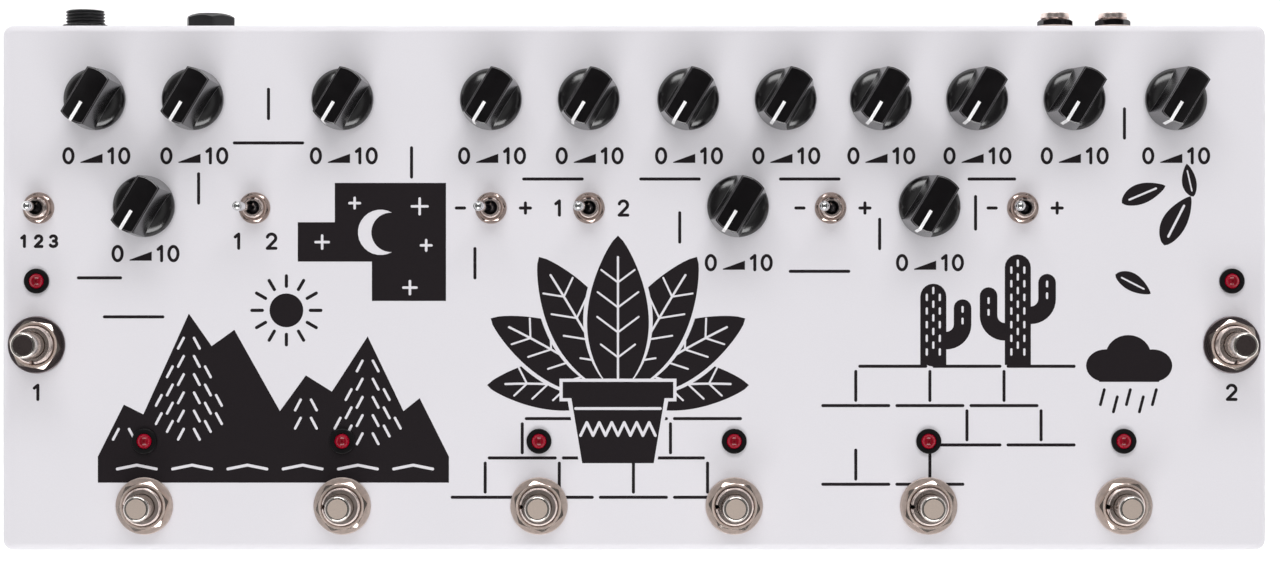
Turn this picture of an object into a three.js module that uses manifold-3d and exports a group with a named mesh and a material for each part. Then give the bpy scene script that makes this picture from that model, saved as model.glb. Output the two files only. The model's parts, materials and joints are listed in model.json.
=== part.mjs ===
// Multi-effects pedal: a long coated metal box with bar-grip knobs, miniature toggle switches,
// LED indicators and footswitches on its top, and a power socket and three jacks on its rear wall.
// Millimetres, +X to the right, +Y to the rear wall with the jacks, +Z up.
// The origin is on the floor, under the middle of the whole object.

import * as THREE from 'three';
import { mergeVertices } from 'three/addons/utils/BufferGeometryUtils.js';
import Module from 'manifold-3d';

const wasm = await Module();
wasm.setup();

// Driving dimensions of the enclosure
const enclosureLength = 389;
const enclosureDepth = 161.6;
const enclosureHeight = 44;
const wallThickness = 2;
const cornerRadius = 3.2;
const edgeRadius = 2.2;
const edgeSteps = 3;
const cornerSteps = 4;

// Base plate, its screws and the feet
const basePlateThickness = 1.5;
const basePlateClearance = 0.3;
const postRadius = 4;
const postWallBite = 0.4;
const postSides = 8;
const screwTapRadius = 1.35;
const screwTapDepth = 12;
const screwHoleRadius = 1.75;
const screwHoleSides = 8;
const footHeight = 4;
const footTopRadius = 8;
const footBottomRadius = 7;
const footInset = 19;
const footSides = 16;

// Places of the controls, as shares of the enclosure's length and depth from its middle
const rearKnobLengthShares = [
  -0.4261, -0.3486, -0.2304, -0.1132, -0.036, 0.0426, 0.1195, 0.1947, 0.2707, 0.3476, 0.4278,
];
const rearKnobDepthShare = 0.358;
const middleKnobLengthShares = [-0.3872, 0.0819, 0.2331];
const middleKnobDepthShare = 0.1545;
const toggleLengthShares = [-0.471, -0.3002, -0.1133, -0.0358, 0.1552, 0.3072];
const toggleDepthShare = 0.1515;
const switchColumnLengthShares = [-0.3872, -0.2308, -0.0753, 0.079, 0.2327, 0.3869];
const frontSwitchDepthShare = -0.4155;
const frontLedDepthShare = -0.2923;
const sideSwitchDepthShare = -0.109;
const sideLedDepthShare = 0.0124;
const audioJackLengthShares = [0.3406, 0.3874];
const auxJackLengthShare = -0.3427;
const powerJackLengthShare = -0.444;

// Clearances, the one overrun that serves every cut, and how flat a face must be to lose its slivers
const holeClearance = 0.4;
const sideSwitchWallGap = 1.24;
const jackBoardGap = 0.42;
const panelHoleSides = 10;
const shaftClearance = 0.3;
const overrun = 1;
const flatTolerance = 0.001;

// Circuit board under the panel
const boardDrop = 10;
const boardThickness = 1.6;
const boardSideGap = 2;
const boardRearGap = 10;
const boardFrontGap = 24;
const boardNotchMargin = 1.5;

// Potentiometer, carried by the circuit board
const potCanRadius = 8.2;
const potCanHeight = 8;
const potCanSides = 10;
const potBushingRadius = 3.8;
const potBushingSides = 8;
const potBushingRise = 3.2;
const potShaftRadius = 3;
const potShaftSides = 8;
const potShaftDepth = 6;
const potBoreEndGap = 0.6;
const potNutFlats = 10;
const potNutHeight = 2;
const potLegWidth = 9;
const potLegDepth = 2.4;
const potLegOffset = 4;
const potLegBite = 1;

// Bar-grip knob
const knobBaseRadius = 9.5;
const knobTopRadius = 8.8;
const knobHeight = 15.75;
const knobRimHeight = 0.8;
const knobPanelGap = 0.8;
const knobShoulderHeight = 4;
const knobShoulderSteps = 3;
const knobSides = 20;
const knobBevel = 0.45;
const gripHalfWidth = 3.9;
const gripDraftDegrees = 5.2;
const pointerWidth = 1;
const pointerDepth = 0.3;
const pointerInnerEnd = 2.2;
const pointerDropShare = 0.62;
const knobRecessRadius = 6.7;
const knobRecessDepth = 3;
const knobRecessSides = 10;
const knobRestDegrees = -31;

// Footswitch
const footswitchWasherRadius = 8.8;
const footswitchWasherHeight = 1;
const footswitchNutFlats = 14;
const footswitchNutHeight = 2.8;
const footswitchNutTopRadius = 6.95;
const footswitchNutChamfer = 0.65;
const footswitchBushingRadius = 5.8;
const frontBushingRise = 5.9;
const sideBushingRise = 7.6;
const bushingRim = 0.5;
const footswitchBodyWidth = 15;
const footswitchBodyHeight = 16;
const footswitchBoreDepth = 12;
const terminalWidth = 2.2;
const terminalThickness = 0.8;
const terminalLength = 4.5;
const terminalPitch = 4.6;
const buttonRadius = 4.1;
const buttonClearance = 0.3;
const buttonEdge = 0.85;
const buttonEdgeSteps = 2;
const frontButtonRise = 14.8;
const sideButtonRise = 19.6;
const buttonStemDepth = 8.5;
const footswitchSides = 16;
const buttonSides = 12;
const footswitchNutSides = 12;
const frontNutDegrees = [42, 37, 10, 24, 53, 29];
const leftNutDegrees = 21;
const rightNutDegrees = 10;

// Miniature toggle switch
const toggleWasherRadius = 4.85;
const toggleWasherHeight = 0.6;
const toggleNutFlats = 8;
const toggleNutHeight = 1.9;
const toggleBushingRadius = 3.15;
const toggleBushingRise = 5.8;
const toggleBoreRadius = 2.05;
const toggleBoreDepth = 6.2;
const toggleBodyLength = 12.7;
const toggleBodyDepth = 7.6;
const toggleBodyHeight = 8.4;
const togglePinWidth = 1.2;
const togglePinThickness = 0.8;
const togglePinBoardGap = 0.3;
const togglePinPitch = 4.7;
const toggleNutDegrees = [8, 19, 33, 12, 26, 41];
const toggleSides = 10;
const toggleBushingSides = 8;
const leverPivotRise = 2.7;
const leverLength = 15.5;
const leverTipRadius = 1.5;
const leverNeckRadius = 0.95;
const leverBallRadius = 1.65;
const leverTailRadius = 0.75;
const leverTailLength = 2.3;
const leverSides = 8;
const leverArcSteps = 3;
const leverThrowDegrees = 12.5;

// LED indicator
const ledBezelRadius = 3.85;
const ledBezelHeight = 1.1;
const ledBezelBevel = 0.3;
const ledBarrelRadius = 3.1;
const ledBarrelDepth = 7;
const ledLensRadius = 2.45;
const ledLensRise = 2.8;
const ledLensSteps = 2;
const ledSides = 10;

// Rear sockets
const jackBoreRadius = 3.3;
const jackBoreDepth = 24;
const audioBushingRadius = 4.6;
const audioBushingReach = 5.7;
const audioWasherRadius = 7;
const audioWasherHeight = 0.8;
const audioNutFlats = 12;
const audioNutHeight = 2;
const audioNutTopRadius = 5.7;
const audioNutChamfer = 0.4;
const audioBodyWidth = 15.6;
const audioBodyHeight = 12;
const audioBodyDepth = 22;
const audioBoardMargin = 2;
const auxBushingRadius = 5.9;
const auxBushingReach = 5.4;
const auxNutFlats = 14;
const auxNutHeight = 4;
const auxNutTopRadius = 6.7;
const auxNutChamfer = 0.6;
const auxNutDegrees = 12;
const auxBodyWidth = 15;
const auxBodyHeight = 12;
const auxBodyDepth = 24;
const powerBarrelRadius = 6.1;
const powerBarrelReach = 6.5;
const powerNutRadius = 7.2;
const powerNutHeight = 2;
const powerNutGripCount = 10;
const powerNutGripRadius = 0.7;
const powerBodyWidth = 14;
const powerBodyHeight = 11;
const powerBodyDepth = 13;
const powerBoreRadius = 4;
const powerBoreDepth = 10;
const powerPinRadius = 1.05;
const powerPinSetback = 1.5;
const powerPinSides = 6;
const socketSides = 12;

// Places that follow from the driving dimensions
const panelTop = footHeight + enclosureHeight;
const panelUnderside = panelTop - wallThickness;
const boardTop = panelUnderside - boardDrop;
const boardBottom = boardTop - boardThickness;
const plateTop = footHeight + basePlateThickness;
const rearReach = Math.max(powerBarrelReach, audioBushingReach, auxBushingReach);
const innerLength = enclosureLength - 2 * wallThickness;
const innerDepth = enclosureDepth - 2 * wallThickness;
const rearWall = enclosureDepth / 2;
const jackHeight = boardBottom - jackBoardGap - audioBodyHeight / 2;
const postX = innerLength / 2 - postRadius + postWallBite;
const postY = innerDepth / 2 - postRadius + postWallBite;
const postPlaces = [-postX, 0, postX].flatMap((x) => [[x, -postY], [x, postY]]);
const sideColumnX = innerLength / 2 - sideSwitchWallGap - footswitchBodyWidth / 2;
const sideSwitchY = enclosureDepth * sideSwitchDepthShare;
const sideLedY = enclosureDepth * sideLedDepthShare;

// Turns a closed three.js geometry into a solid that can be joined and cut
function solidOf(geometry) {
  const bare = geometry.clone();
  bare.deleteAttribute('normal');
  bare.deleteAttribute('uv');
  const merged = mergeVertices(bare);
  return new wasm.Manifold(new wasm.Mesh({
    numProp: 3,
    vertProperties: new Float32Array(merged.attributes.position.array),
    triVerts: new Uint32Array(merged.index.array),
  }));
}

// Turns a solid back into a three.js geometry, with the slivers in its flat faces joined
function geometryOf(solid) {
  const mesh = solid.asOriginal().simplify(flatTolerance).getMesh();
  const geometry = new THREE.BufferGeometry();
  geometry.setAttribute('position', new THREE.BufferAttribute(mesh.vertProperties, 3));
  geometry.setIndex(new THREE.BufferAttribute(mesh.triVerts, 1));
  geometry.computeVertexNormals();
  return geometry;
}

function joined(solids) {
  return solids.reduce((whole, solid) => whole.add(solid));
}

function cut(solid, tools) {
  return tools.reduce((rest, tool) => rest.subtract(tool), solid);
}

// A solid turned about +Z from a profile of [radius, height] points that starts and ends on the axis
function turned(profile, sides) {
  const points = profile.map(([radius, height]) => new THREE.Vector2(radius, height));
  const geometry = new THREE.LatheGeometry(points, sides);
  geometry.rotateX(Math.PI / 2);
  return solidOf(geometry);
}

// An upright cylinder between two heights
function cylinder(radius, low, high, sides) {
  return turned([[0, low], [radius, low], [radius, high], [0, high]], sides);
}

// An upright hexagonal prism whose flats are a given distance apart, between two heights
function hexagon(flats, low, high) {
  const geometry = new THREE.CylinderGeometry(flats / Math.sqrt(3), flats / Math.sqrt(3), high - low, 6);
  geometry.rotateX(Math.PI / 2);
  geometry.translate(0, 0, (low + high) / 2);
  return solidOf(geometry);
}

// A block between two corners
function block(low, high) {
  const size = high.map((value, axis) => value - low[axis]);
  const geometry = new THREE.BoxGeometry(...size);
  geometry.translate(...high.map((value, axis) => (value + low[axis]) / 2));
  return solidOf(geometry);
}

// A block of a given width and depth about a point, between two heights
function post(width, depth, low, high, x = 0, y = 0) {
  return block([x - width / 2, y - depth / 2, low], [x + width / 2, y + depth / 2, high]);
}

// A closed skin over rings of points that run anticlockwise and are stacked upwards
function lofted(rings) {
  const count = rings[0].length;
  const positions = rings.flat().flatMap((point) => [point.x, point.y, point.z]);
  const index = [];
  for (let level = 0; level < rings.length - 1; level += 1) {
    for (let step = 0; step < count; step += 1) {
      const here = level * count + step;
      const next = level * count + ((step + 1) % count);
      index.push(here, next, next + count, here, next + count, here + count);
    }
  }
  const flat = (ring) => ring.map((point) => new THREE.Vector2(point.x, point.y));
  const top = (rings.length - 1) * count;
  for (const [a, b, c] of THREE.ShapeUtils.triangulateShape(flat(rings[0]), [])) {
    index.push(a, c, b);
  }
  for (const [a, b, c] of THREE.ShapeUtils.triangulateShape(flat(rings[rings.length - 1]), [])) {
    index.push(top + a, top + b, top + c);
  }
  const geometry = new THREE.BufferGeometry();
  geometry.setAttribute('position', new THREE.BufferAttribute(new Float32Array(positions), 3));
  geometry.setIndex(index);
  return solidOf(geometry);
}

// A rectangle with rounded corners at one height, as a ring of points
function roundedRing(length, depth, radius, height) {
  const ring = [];
  for (let corner = 0; corner < 4; corner += 1) {
    const signX = corner === 0 || corner === 3 ? 1 : -1;
    const signY = corner < 2 ? 1 : -1;
    for (let step = 0; step <= cornerSteps; step += 1) {
      const angle = (Math.PI / 2) * (corner + step / cornerSteps);
      const x = signX * (length / 2 - radius) + radius * Math.cos(angle);
      const y = signY * (depth / 2 - radius) + radius * Math.sin(angle);
      ring.push(new THREE.Vector3(x, y, height));
    }
  }
  return ring;
}

// Turns a solid made along +Z so that it points out of the rear wall
function facingRear(solid) {
  return solid.rotate([-90, 0, 0]);
}

// A hexagonal nut whose upper corners are turned down to a circle
function chamferedNut(flats, height, topRadius, chamfer, low, sides) {
  const cornerRadius = flats / Math.sqrt(3);
  const envelope = turned([
    [0, low],
    [cornerRadius, low],
    [cornerRadius, low + height - chamfer],
    [topRadius, low + height],
    [0, low + height],
  ], sides);
  return hexagon(flats, low, low + height).intersect(envelope);
}

// Enclosure: a rounded tray, open below, with screw posts and a hole for every control
function enclosureGeometry() {
  const rings = [roundedRing(enclosureLength, enclosureDepth, cornerRadius, footHeight)];
  for (let step = 0; step <= edgeSteps; step += 1) {
    const angle = (Math.PI / 2) * (step / edgeSteps);
    const inset = edgeRadius * (1 - Math.cos(angle));
    const height = panelTop - edgeRadius + edgeRadius * Math.sin(angle);
    const length = enclosureLength - 2 * inset;
    const depth = enclosureDepth - 2 * inset;
    rings.push(roundedRing(length, depth, cornerRadius - inset, height));
  }
  const innerRadius = cornerRadius - wallThickness;
  const cavity = lofted([
    roundedRing(innerLength, innerDepth, innerRadius, footHeight - overrun),
    roundedRing(innerLength, innerDepth, innerRadius, panelUnderside),
  ]);
  const postTop = panelUnderside + postWallBite;
  const posts = postPlaces.map(([x, y]) => cylinder(
    postRadius, plateTop, postTop, postSides,
  ).translate([x, y, 0]));
  const taps = postPlaces.map(([x, y]) => cylinder(
    screwTapRadius, plateTop - overrun, plateTop + screwTapDepth, screwHoleSides,
  ).translate([x, y, 0]));
  return geometryOf(cut(joined([cut(lofted(rings), [cavity]), ...posts]), [
    ...taps,
    ...panelHoles(),
    ...rearWallHoles(),
  ]));
}

// Clearance holes through the panel for every control
function panelHoles() {
  const hole = (radius) => ([x, y]) => cylinder(
    radius + holeClearance, panelUnderside - overrun, panelTop + overrun, panelHoleSides,
  ).translate([x, y, 0]);
  return [
    ...knobPlaces.map(hole(potBushingRadius)),
    ...togglePlaces.map(hole(toggleBushingRadius)),
    ...footswitchPlaces.map(hole(footswitchBushingRadius)),
    ...ledPlaces.map(hole(ledBarrelRadius)),
  ];
}

// Clearance holes through the rear wall for the sockets
function rearWallHoles() {
  const hole = (radius, share) => facingRear(cylinder(
    radius + holeClearance, rearWall - wallThickness - overrun, rearWall + overrun, socketSides,
  )).translate([enclosureLength * share, 0, jackHeight]);
  return [
    ...audioJackLengthShares.map((share) => hole(audioBushingRadius, share)),
    hole(auxBushingRadius, auxJackLengthShare),
    hole(powerBarrelRadius, powerJackLengthShare),
  ];
}

// Base plate: a sheet that drops into the enclosure's lower rim and screws to the posts
function basePlateGeometry() {
  const length = innerLength - 2 * basePlateClearance;
  const depth = innerDepth - 2 * basePlateClearance;
  const radius = cornerRadius - wallThickness;
  const sheet = lofted([
    roundedRing(length, depth, radius, footHeight),
    roundedRing(length, depth, radius, plateTop),
  ]);
  return geometryOf(cut(sheet, postPlaces.map(([x, y]) => cylinder(
    screwHoleRadius, footHeight - overrun, plateTop + overrun, screwHoleSides,
  ).translate([x, y, 0]))));
}

// Foot: a tapered rubber disc under the base plate
function footGeometry() {
  return geometryOf(turned([
    [0, 0],
    [footBottomRadius, 0],
    [footTopRadius, footHeight],
    [0, footHeight],
  ], footSides));
}

// Potentiometer, with the panel's top at height zero: can, bored bushing, nut and the leg to the board
function potentiometer() {
  const canTop = -wallThickness;
  const canBottom = canTop - potCanHeight;
  const can = cylinder(potCanRadius, canBottom, canTop, potCanSides);
  const bushing = cylinder(potBushingRadius, canTop - potLegBite, potBushingRise, potBushingSides);
  const nut = hexagon(potNutFlats, 0, potNutHeight);
  const legBottom = canTop - boardDrop - potLegBite;
  const leg = post(potLegWidth, potLegDepth, legBottom, canBottom + potLegBite, 0, potLegOffset);
  const boreBottom = -potShaftDepth - potBoreEndGap;
  const boreRadius = potShaftRadius + shaftClearance;
  const bore = cylinder(boreRadius, boreBottom, potBushingRise + overrun, potBushingSides);
  return cut(joined([can, bushing, nut, leg]), [bore]);
}

// Circuit board: one sheet under the panel, notched for the side footswitches and carrying the
// potentiometers
function circuitBoardGeometry() {
  const halfLength = innerLength / 2 - boardSideGap;
  const sheet = block(
    [-halfLength, -innerDepth / 2 + boardFrontGap, boardBottom],
    [halfLength, innerDepth / 2 - boardRearGap, boardTop],
  );
  const notchHalf = footswitchBodyWidth / 2 + boardNotchMargin;
  const notches = [-1, 1].map((side) => {
    const inner = sideColumnX - notchHalf;
    const outer = halfLength + overrun;
    const left = side > 0 ? inner : -outer;
    const right = side > 0 ? outer : -inner;
    return block(
      [left, sideSwitchY - notchHalf, boardBottom - overrun],
      [right, sideSwitchY + notchHalf, boardTop + overrun],
    );
  });
  const pots = knobPlaces.map(([x, y]) => potentiometer().translate([x, y, panelTop]));
  return geometryOf(joined([cut(sheet, notches), ...pots]));
}

// Grip outline: a rectangle that reaches past the knob's ends
function gripRing(halfWidth, height) {
  const reach = knobBaseRadius + overrun;
  const outline = [[halfWidth, reach], [-halfWidth, reach], [-halfWidth, -reach], [halfWidth, -reach]];
  return outline.map(([x, y]) => new THREE.Vector3(x, y, height));
}

// Knob and shaft, with the knob's lower face at height zero and its pointer towards -Y: a tapered
// body cut away on both sides down to a domed shoulder, which leaves a bar to grip
function knobGeometry() {
  const draft = Math.tan(THREE.MathUtils.degToRad(gripDraftDegrees));
  const body = turned([
    [0, 0],
    [knobBaseRadius, 0],
    [knobBaseRadius, knobRimHeight],
    [knobTopRadius, knobHeight - knobBevel],
    [knobTopRadius - knobBevel, knobHeight],
    [0, knobHeight],
  ], knobSides);
  const grip = lofted([
    gripRing(gripHalfWidth + draft * (knobHeight + overrun), -overrun),
    gripRing(gripHalfWidth, knobHeight - knobBevel),
    gripRing(gripHalfWidth - knobBevel, knobHeight),
  ]);
  const dome = [];
  for (let step = 0; step <= knobShoulderSteps; step += 1) {
    const angle = (Math.PI / 2) * (step / knobShoulderSteps);
    const rise = knobShoulderHeight - knobRimHeight;
    dome.push([knobBaseRadius * Math.cos(angle), knobRimHeight + rise * Math.sin(angle)]);
  }
  dome[knobShoulderSteps][0] = 0;
  const shoulder = turned([[0, 0], [knobBaseRadius, 0], ...dome], knobSides);
  const slotBottom = knobHeight * (1 - pointerDropShare);
  const pointer = joined([
    block(
      [-pointerWidth / 2, -knobBaseRadius - overrun, knobHeight - pointerDepth],
      [pointerWidth / 2, -pointerInnerEnd, knobHeight + overrun],
    ),
    block(
      [-pointerWidth / 2, -knobBaseRadius - overrun, slotBottom],
      [pointerWidth / 2, -knobTopRadius + pointerDepth, knobHeight],
    ),
  ]);
  const recess = cylinder(knobRecessRadius, -overrun, knobRecessDepth, knobRecessSides);
  const shaft = cylinder(
    potShaftRadius, -knobPanelGap - potShaftDepth, knobRecessDepth + knobBevel, potShaftSides,
  );
  const moulding = cut(joined([body.intersect(grip), shoulder]), [pointer, recess]);
  return geometryOf(joined([moulding, shaft]));
}

// Footswitch body, with the panel's top at height zero: switch block with terminals below, bored
// bushing, washer and chamfered nut above
function footswitchBodyGeometry(bushingRise, nutDegrees) {
  const blockTop = -wallThickness;
  const blockBottom = blockTop - footswitchBodyHeight;
  const switchBlock = post(footswitchBodyWidth, footswitchBodyWidth, blockBottom, blockTop);
  const terminals = [-1, 0, 1].map((step) => post(
    terminalThickness, terminalWidth, blockBottom - terminalLength, blockBottom + terminalThickness,
    step * terminalPitch,
  ));
  const bushing = turned([
    [0, blockTop - terminalThickness],
    [footswitchBushingRadius, blockTop - terminalThickness],
    [footswitchBushingRadius, bushingRise - bushingRim],
    [footswitchBushingRadius - bushingRim, bushingRise],
    [0, bushingRise],
  ], buttonSides);
  const washer = cylinder(footswitchWasherRadius, 0, footswitchWasherHeight, footswitchSides);
  const nut = chamferedNut(
    footswitchNutFlats, footswitchNutHeight, footswitchNutTopRadius, footswitchNutChamfer,
    footswitchWasherHeight, footswitchNutSides,
  ).rotate([0, 0, nutDegrees]);
  const bore = cylinder(
    buttonRadius + buttonClearance, -footswitchBoreDepth, bushingRise + overrun, buttonSides,
  );
  return geometryOf(cut(joined([switchBlock, ...terminals, bushing, washer, nut]), [bore]));
}

// Footswitch button: a plain stem with a rounded upper edge
function buttonGeometry(buttonRise) {
  const profile = [[0, -buttonStemDepth], [buttonRadius, -buttonStemDepth]];
  for (let step = 0; step <= buttonEdgeSteps; step += 1) {
    const angle = (Math.PI / 2) * (step / buttonEdgeSteps);
    const radius = buttonRadius - buttonEdge * (1 - Math.cos(angle));
    profile.push([radius, buttonRise - buttonEdge * (1 - Math.sin(angle))]);
  }
  return geometryOf(turned([...profile, [0, buttonRise]], buttonSides));
}

// Toggle switch body, with the panel's top at height zero
function toggleBodyGeometry(nutDegrees) {
  const blockTop = -wallThickness;
  const blockBottom = blockTop - toggleBodyHeight;
  const switchBlock = post(toggleBodyLength, toggleBodyDepth, blockBottom, blockTop);
  const pinBottom = blockTop - boardDrop + togglePinBoardGap;
  const pins = [-1, 0, 1].map((step) => post(
    togglePinWidth, togglePinThickness, pinBottom, blockBottom + togglePinThickness, step * togglePinPitch,
  ));
  const bushing = cylinder(
    toggleBushingRadius, blockTop - togglePinThickness, toggleBushingRise, toggleBushingSides,
  );
  const washer = cylinder(toggleWasherRadius, 0, toggleWasherHeight, toggleSides);
  const nutTop = toggleWasherHeight + toggleNutHeight;
  const nut = hexagon(toggleNutFlats, toggleWasherHeight, nutTop).rotate([0, 0, nutDegrees]);
  const boreBottom = toggleBushingRise - toggleBoreDepth;
  const bore = cylinder(toggleBoreRadius, boreBottom, toggleBushingRise + overrun, toggleBushingSides);
  return geometryOf(cut(joined([switchBlock, ...pins, bushing, washer, nut]), [bore]));
}

// Toggle lever about its pivot: tail, ball, neck and a bat that swells to a round tip
function leverGeometry() {
  const profile = [[0, -leverTailLength], [leverTailRadius, -leverTailLength]];
  for (let step = 0; step <= leverArcSteps; step += 1) {
    const low = -Math.acos(leverTailRadius / leverBallRadius);
    const high = Math.acos(leverNeckRadius / leverBallRadius);
    const angle = low + (high - low) * (step / leverArcSteps);
    profile.push([leverBallRadius * Math.cos(angle), leverBallRadius * Math.sin(angle)]);
  }
  for (let step = 0; step < leverArcSteps; step += 1) {
    const angle = (Math.PI / 2) * (step / leverArcSteps);
    const height = leverLength - leverTipRadius * (1 - Math.sin(angle));
    profile.push([leverTipRadius * Math.cos(angle), height]);
  }
  return geometryOf(turned([...profile, [0, leverLength]], leverSides));
}

// LED indicator, with the panel's top at height zero: barrel, bezel and lens
function ledGeometry() {
  const profile = [
    [0, -ledBarrelDepth],
    [ledBarrelRadius, -ledBarrelDepth],
    [ledBarrelRadius, 0],
    [ledBezelRadius, 0],
    [ledBezelRadius, ledBezelHeight - ledBezelBevel],
    [ledBezelRadius - ledBezelBevel, ledBezelHeight],
  ];
  for (let step = 0; step < ledLensSteps; step += 1) {
    const angle = (Math.PI / 2) * (step / ledLensSteps);
    const height = ledBezelHeight + (ledLensRise - ledBezelHeight) * Math.sin(angle);
    profile.push([ledLensRadius * Math.cos(angle), height]);
  }
  return geometryOf(turned([...profile, [0, ledLensRise]], ledSides));
}

// A jack along +Z with the rear wall's outer face at height zero: bored bushing, nut and body
function jackSolid(bushingRadius, reach, nut, bodyWidth, bodyHeight, bodyDepth) {
  const inner = -wallThickness;
  const bushing = cylinder(bushingRadius, inner - overrun, reach, socketSides);
  const body = post(bodyWidth, bodyHeight, inner - bodyDepth, inner);
  const bore = cylinder(jackBoreRadius, reach - jackBoreDepth, reach + overrun, socketSides);
  return cut(joined([bushing, nut, body]), [bore]);
}

// Both audio jacks on the small board that carries them
function audioJacksGeometry() {
  const washer = cylinder(audioWasherRadius, 0, audioWasherHeight, socketSides);
  const nut = chamferedNut(
    audioNutFlats, audioNutHeight, audioNutTopRadius, audioNutChamfer, audioWasherHeight, socketSides,
  );
  const jack = facingRear(jackSolid(
    audioBushingRadius, audioBushingReach, joined([washer, nut]),
    audioBodyWidth, audioBodyHeight, audioBodyDepth,
  ));
  const [first, second] = audioJackLengthShares.map((share) => enclosureLength * share);
  const middle = (first + second) / 2;
  const jacksUnderside = -audioBodyHeight / 2;
  const margin = audioBodyWidth / 2 + audioBoardMargin;
  const boardRear = -wallThickness - audioBoardMargin;
  const boardFront = -wallThickness - audioBodyDepth - audioBoardMargin;
  const board = block(
    [first - middle - margin, boardFront, jacksUnderside - boardThickness],
    [second - middle + margin, boardRear, jacksUnderside],
  );
  return geometryOf(joined([
    jack.translate([first - middle, 0, 0]),
    jack.translate([second - middle, 0, 0]),
    board,
  ]));
}

// Auxiliary jack with a deep plastic hexagonal nut
function auxJackGeometry() {
  const nut = chamferedNut(
    auxNutFlats, auxNutHeight, auxNutTopRadius, auxNutChamfer, 0, socketSides,
  ).rotate([0, 0, auxNutDegrees]);
  return geometryOf(facingRear(jackSolid(
    auxBushingRadius, auxBushingReach, nut, auxBodyWidth, auxBodyHeight, auxBodyDepth,
  )));
}

// Power socket: threaded barrel with a centre pin, a round gripped nut and the body behind the wall
function powerJackGeometry() {
  const inner = -wallThickness;
  const barrel = cylinder(powerBarrelRadius, inner - overrun, powerBarrelReach, socketSides);
  const grips = [];
  for (let step = 0; step < powerNutGripCount; step += 1) {
    const angle = (2 * Math.PI * step) / powerNutGripCount;
    const grip = cylinder(powerNutGripRadius, -overrun, powerNutHeight + overrun, powerPinSides);
    grips.push(grip.translate([powerNutRadius * Math.cos(angle), powerNutRadius * Math.sin(angle), 0]));
  }
  const nut = cut(cylinder(powerNutRadius, 0, powerNutHeight, powerNutGripCount * 2), grips);
  const body = post(powerBodyWidth, powerBodyHeight, inner - powerBodyDepth, inner);
  const boreBottom = powerBarrelReach - powerBoreDepth;
  const bore = cylinder(powerBoreRadius, boreBottom, powerBarrelReach + overrun, socketSides);
  const pinEnd = powerBarrelReach - powerPinSetback;
  const pin = cylinder(powerPinRadius, boreBottom - overrun, pinEnd, powerPinSides);
  return geometryOf(facingRear(joined([cut(joined([barrel, nut, body]), [bore]), pin])));
}

// Where each control stands on the panel, in the enclosure's frame
const place = (lengthShare, depthShare) => [enclosureLength * lengthShare, enclosureDepth * depthShare];
const knobPlaces = [
  ...rearKnobLengthShares.map((share) => place(share, rearKnobDepthShare)),
  ...middleKnobLengthShares.map((share) => place(share, middleKnobDepthShare)),
];
const togglePlaces = toggleLengthShares.map((share) => place(share, toggleDepthShare));
const footswitchPlaces = [
  [-sideColumnX, sideSwitchY],
  ...switchColumnLengthShares.map((share) => place(share, frontSwitchDepthShare)),
  [sideColumnX, sideSwitchY],
];
const ledPlaces = [
  [-sideColumnX, sideLedY],
  ...switchColumnLengthShares.map((share) => place(share, frontLedDepthShare)),
  [sideColumnX, sideLedY],
];

// Finishes, each a function that gives a mesh a material of its own
function finish(color, roughness, metalness) {
  return () => new THREE.MeshStandardMaterial({ color, roughness, metalness });
}

const whiteCoat = finish(0xdcdae0, 0.45, 0);
const nickel = finish(0xb8aca2, 0.25, 1);
const chrome = finish(0xd8d8da, 0.12, 1);
const glossBlack = finish(0x141315, 0.2, 0);
const mattBlack = finish(0x1c1b1d, 0.6, 0);
const boardGreen = finish(0x1f4a33, 0.5, 0);
const bareSheet = finish(0xb9bbbd, 0.4, 1);
const rubber = finish(0x19191a, 0.9, 0);
const darkRed = finish(0x4a0d10, 0.25, 0);

const pedal = new THREE.Group();
const assembly = new THREE.Group();
assembly.position.y = -rearReach / 2;
pedal.add(assembly);

function addMesh(name, geometry, material, x = 0, y = 0, z = 0) {
  const mesh = new THREE.Mesh(geometry, material());
  mesh.name = name;
  mesh.position.set(x, y, z);
  assembly.add(mesh);
  return mesh;
}

addMesh('enclosure', enclosureGeometry(), whiteCoat);
addMesh('base_plate', basePlateGeometry(), bareSheet);
addMesh('circuit_board', circuitBoardGeometry(), boardGreen);

const footX = enclosureLength / 2 - footInset;
const footY = enclosureDepth / 2 - footInset;
addMesh('foot_front_left', footGeometry(), rubber, -footX, -footY);
addMesh('foot_front_right', footGeometry(), rubber, footX, -footY);
addMesh('foot_rear_left', footGeometry(), rubber, -footX, footY);
addMesh('foot_rear_right', footGeometry(), rubber, footX, footY);

knobPlaces.forEach(([x, y], index) => {
  const knob = addMesh(`knob_${index + 1}`, knobGeometry(), glossBlack, x, y, panelTop + knobPanelGap);
  knob.rotation.z = THREE.MathUtils.degToRad(knobRestDegrees);
});

togglePlaces.forEach(([x, y], index) => {
  const number = index + 1;
  addMesh(`toggle_body_${number}`, toggleBodyGeometry(toggleNutDegrees[index]), nickel, x, y, panelTop);
  const lever = addMesh(`toggle_lever_${number}`, leverGeometry(), chrome, x, y, panelTop + leverPivotRise);
  lever.rotation.y = index === 0 ? 0 : -THREE.MathUtils.degToRad(leverThrowDegrees);
});

const nutTurns = [leftNutDegrees, ...frontNutDegrees, rightNutDegrees];
footswitchPlaces.forEach(([x, y], index) => {
  const atSide = index === 0 || index === footswitchPlaces.length - 1;
  const body = footswitchBodyGeometry(atSide ? sideBushingRise : frontBushingRise, nutTurns[index]);
  const button = buttonGeometry(atSide ? sideButtonRise : frontButtonRise);
  addMesh(`footswitch_body_${index + 1}`, body, nickel, x, y, panelTop);
  addMesh(`footswitch_button_${index + 1}`, button, nickel, x, y, panelTop);
});

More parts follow.
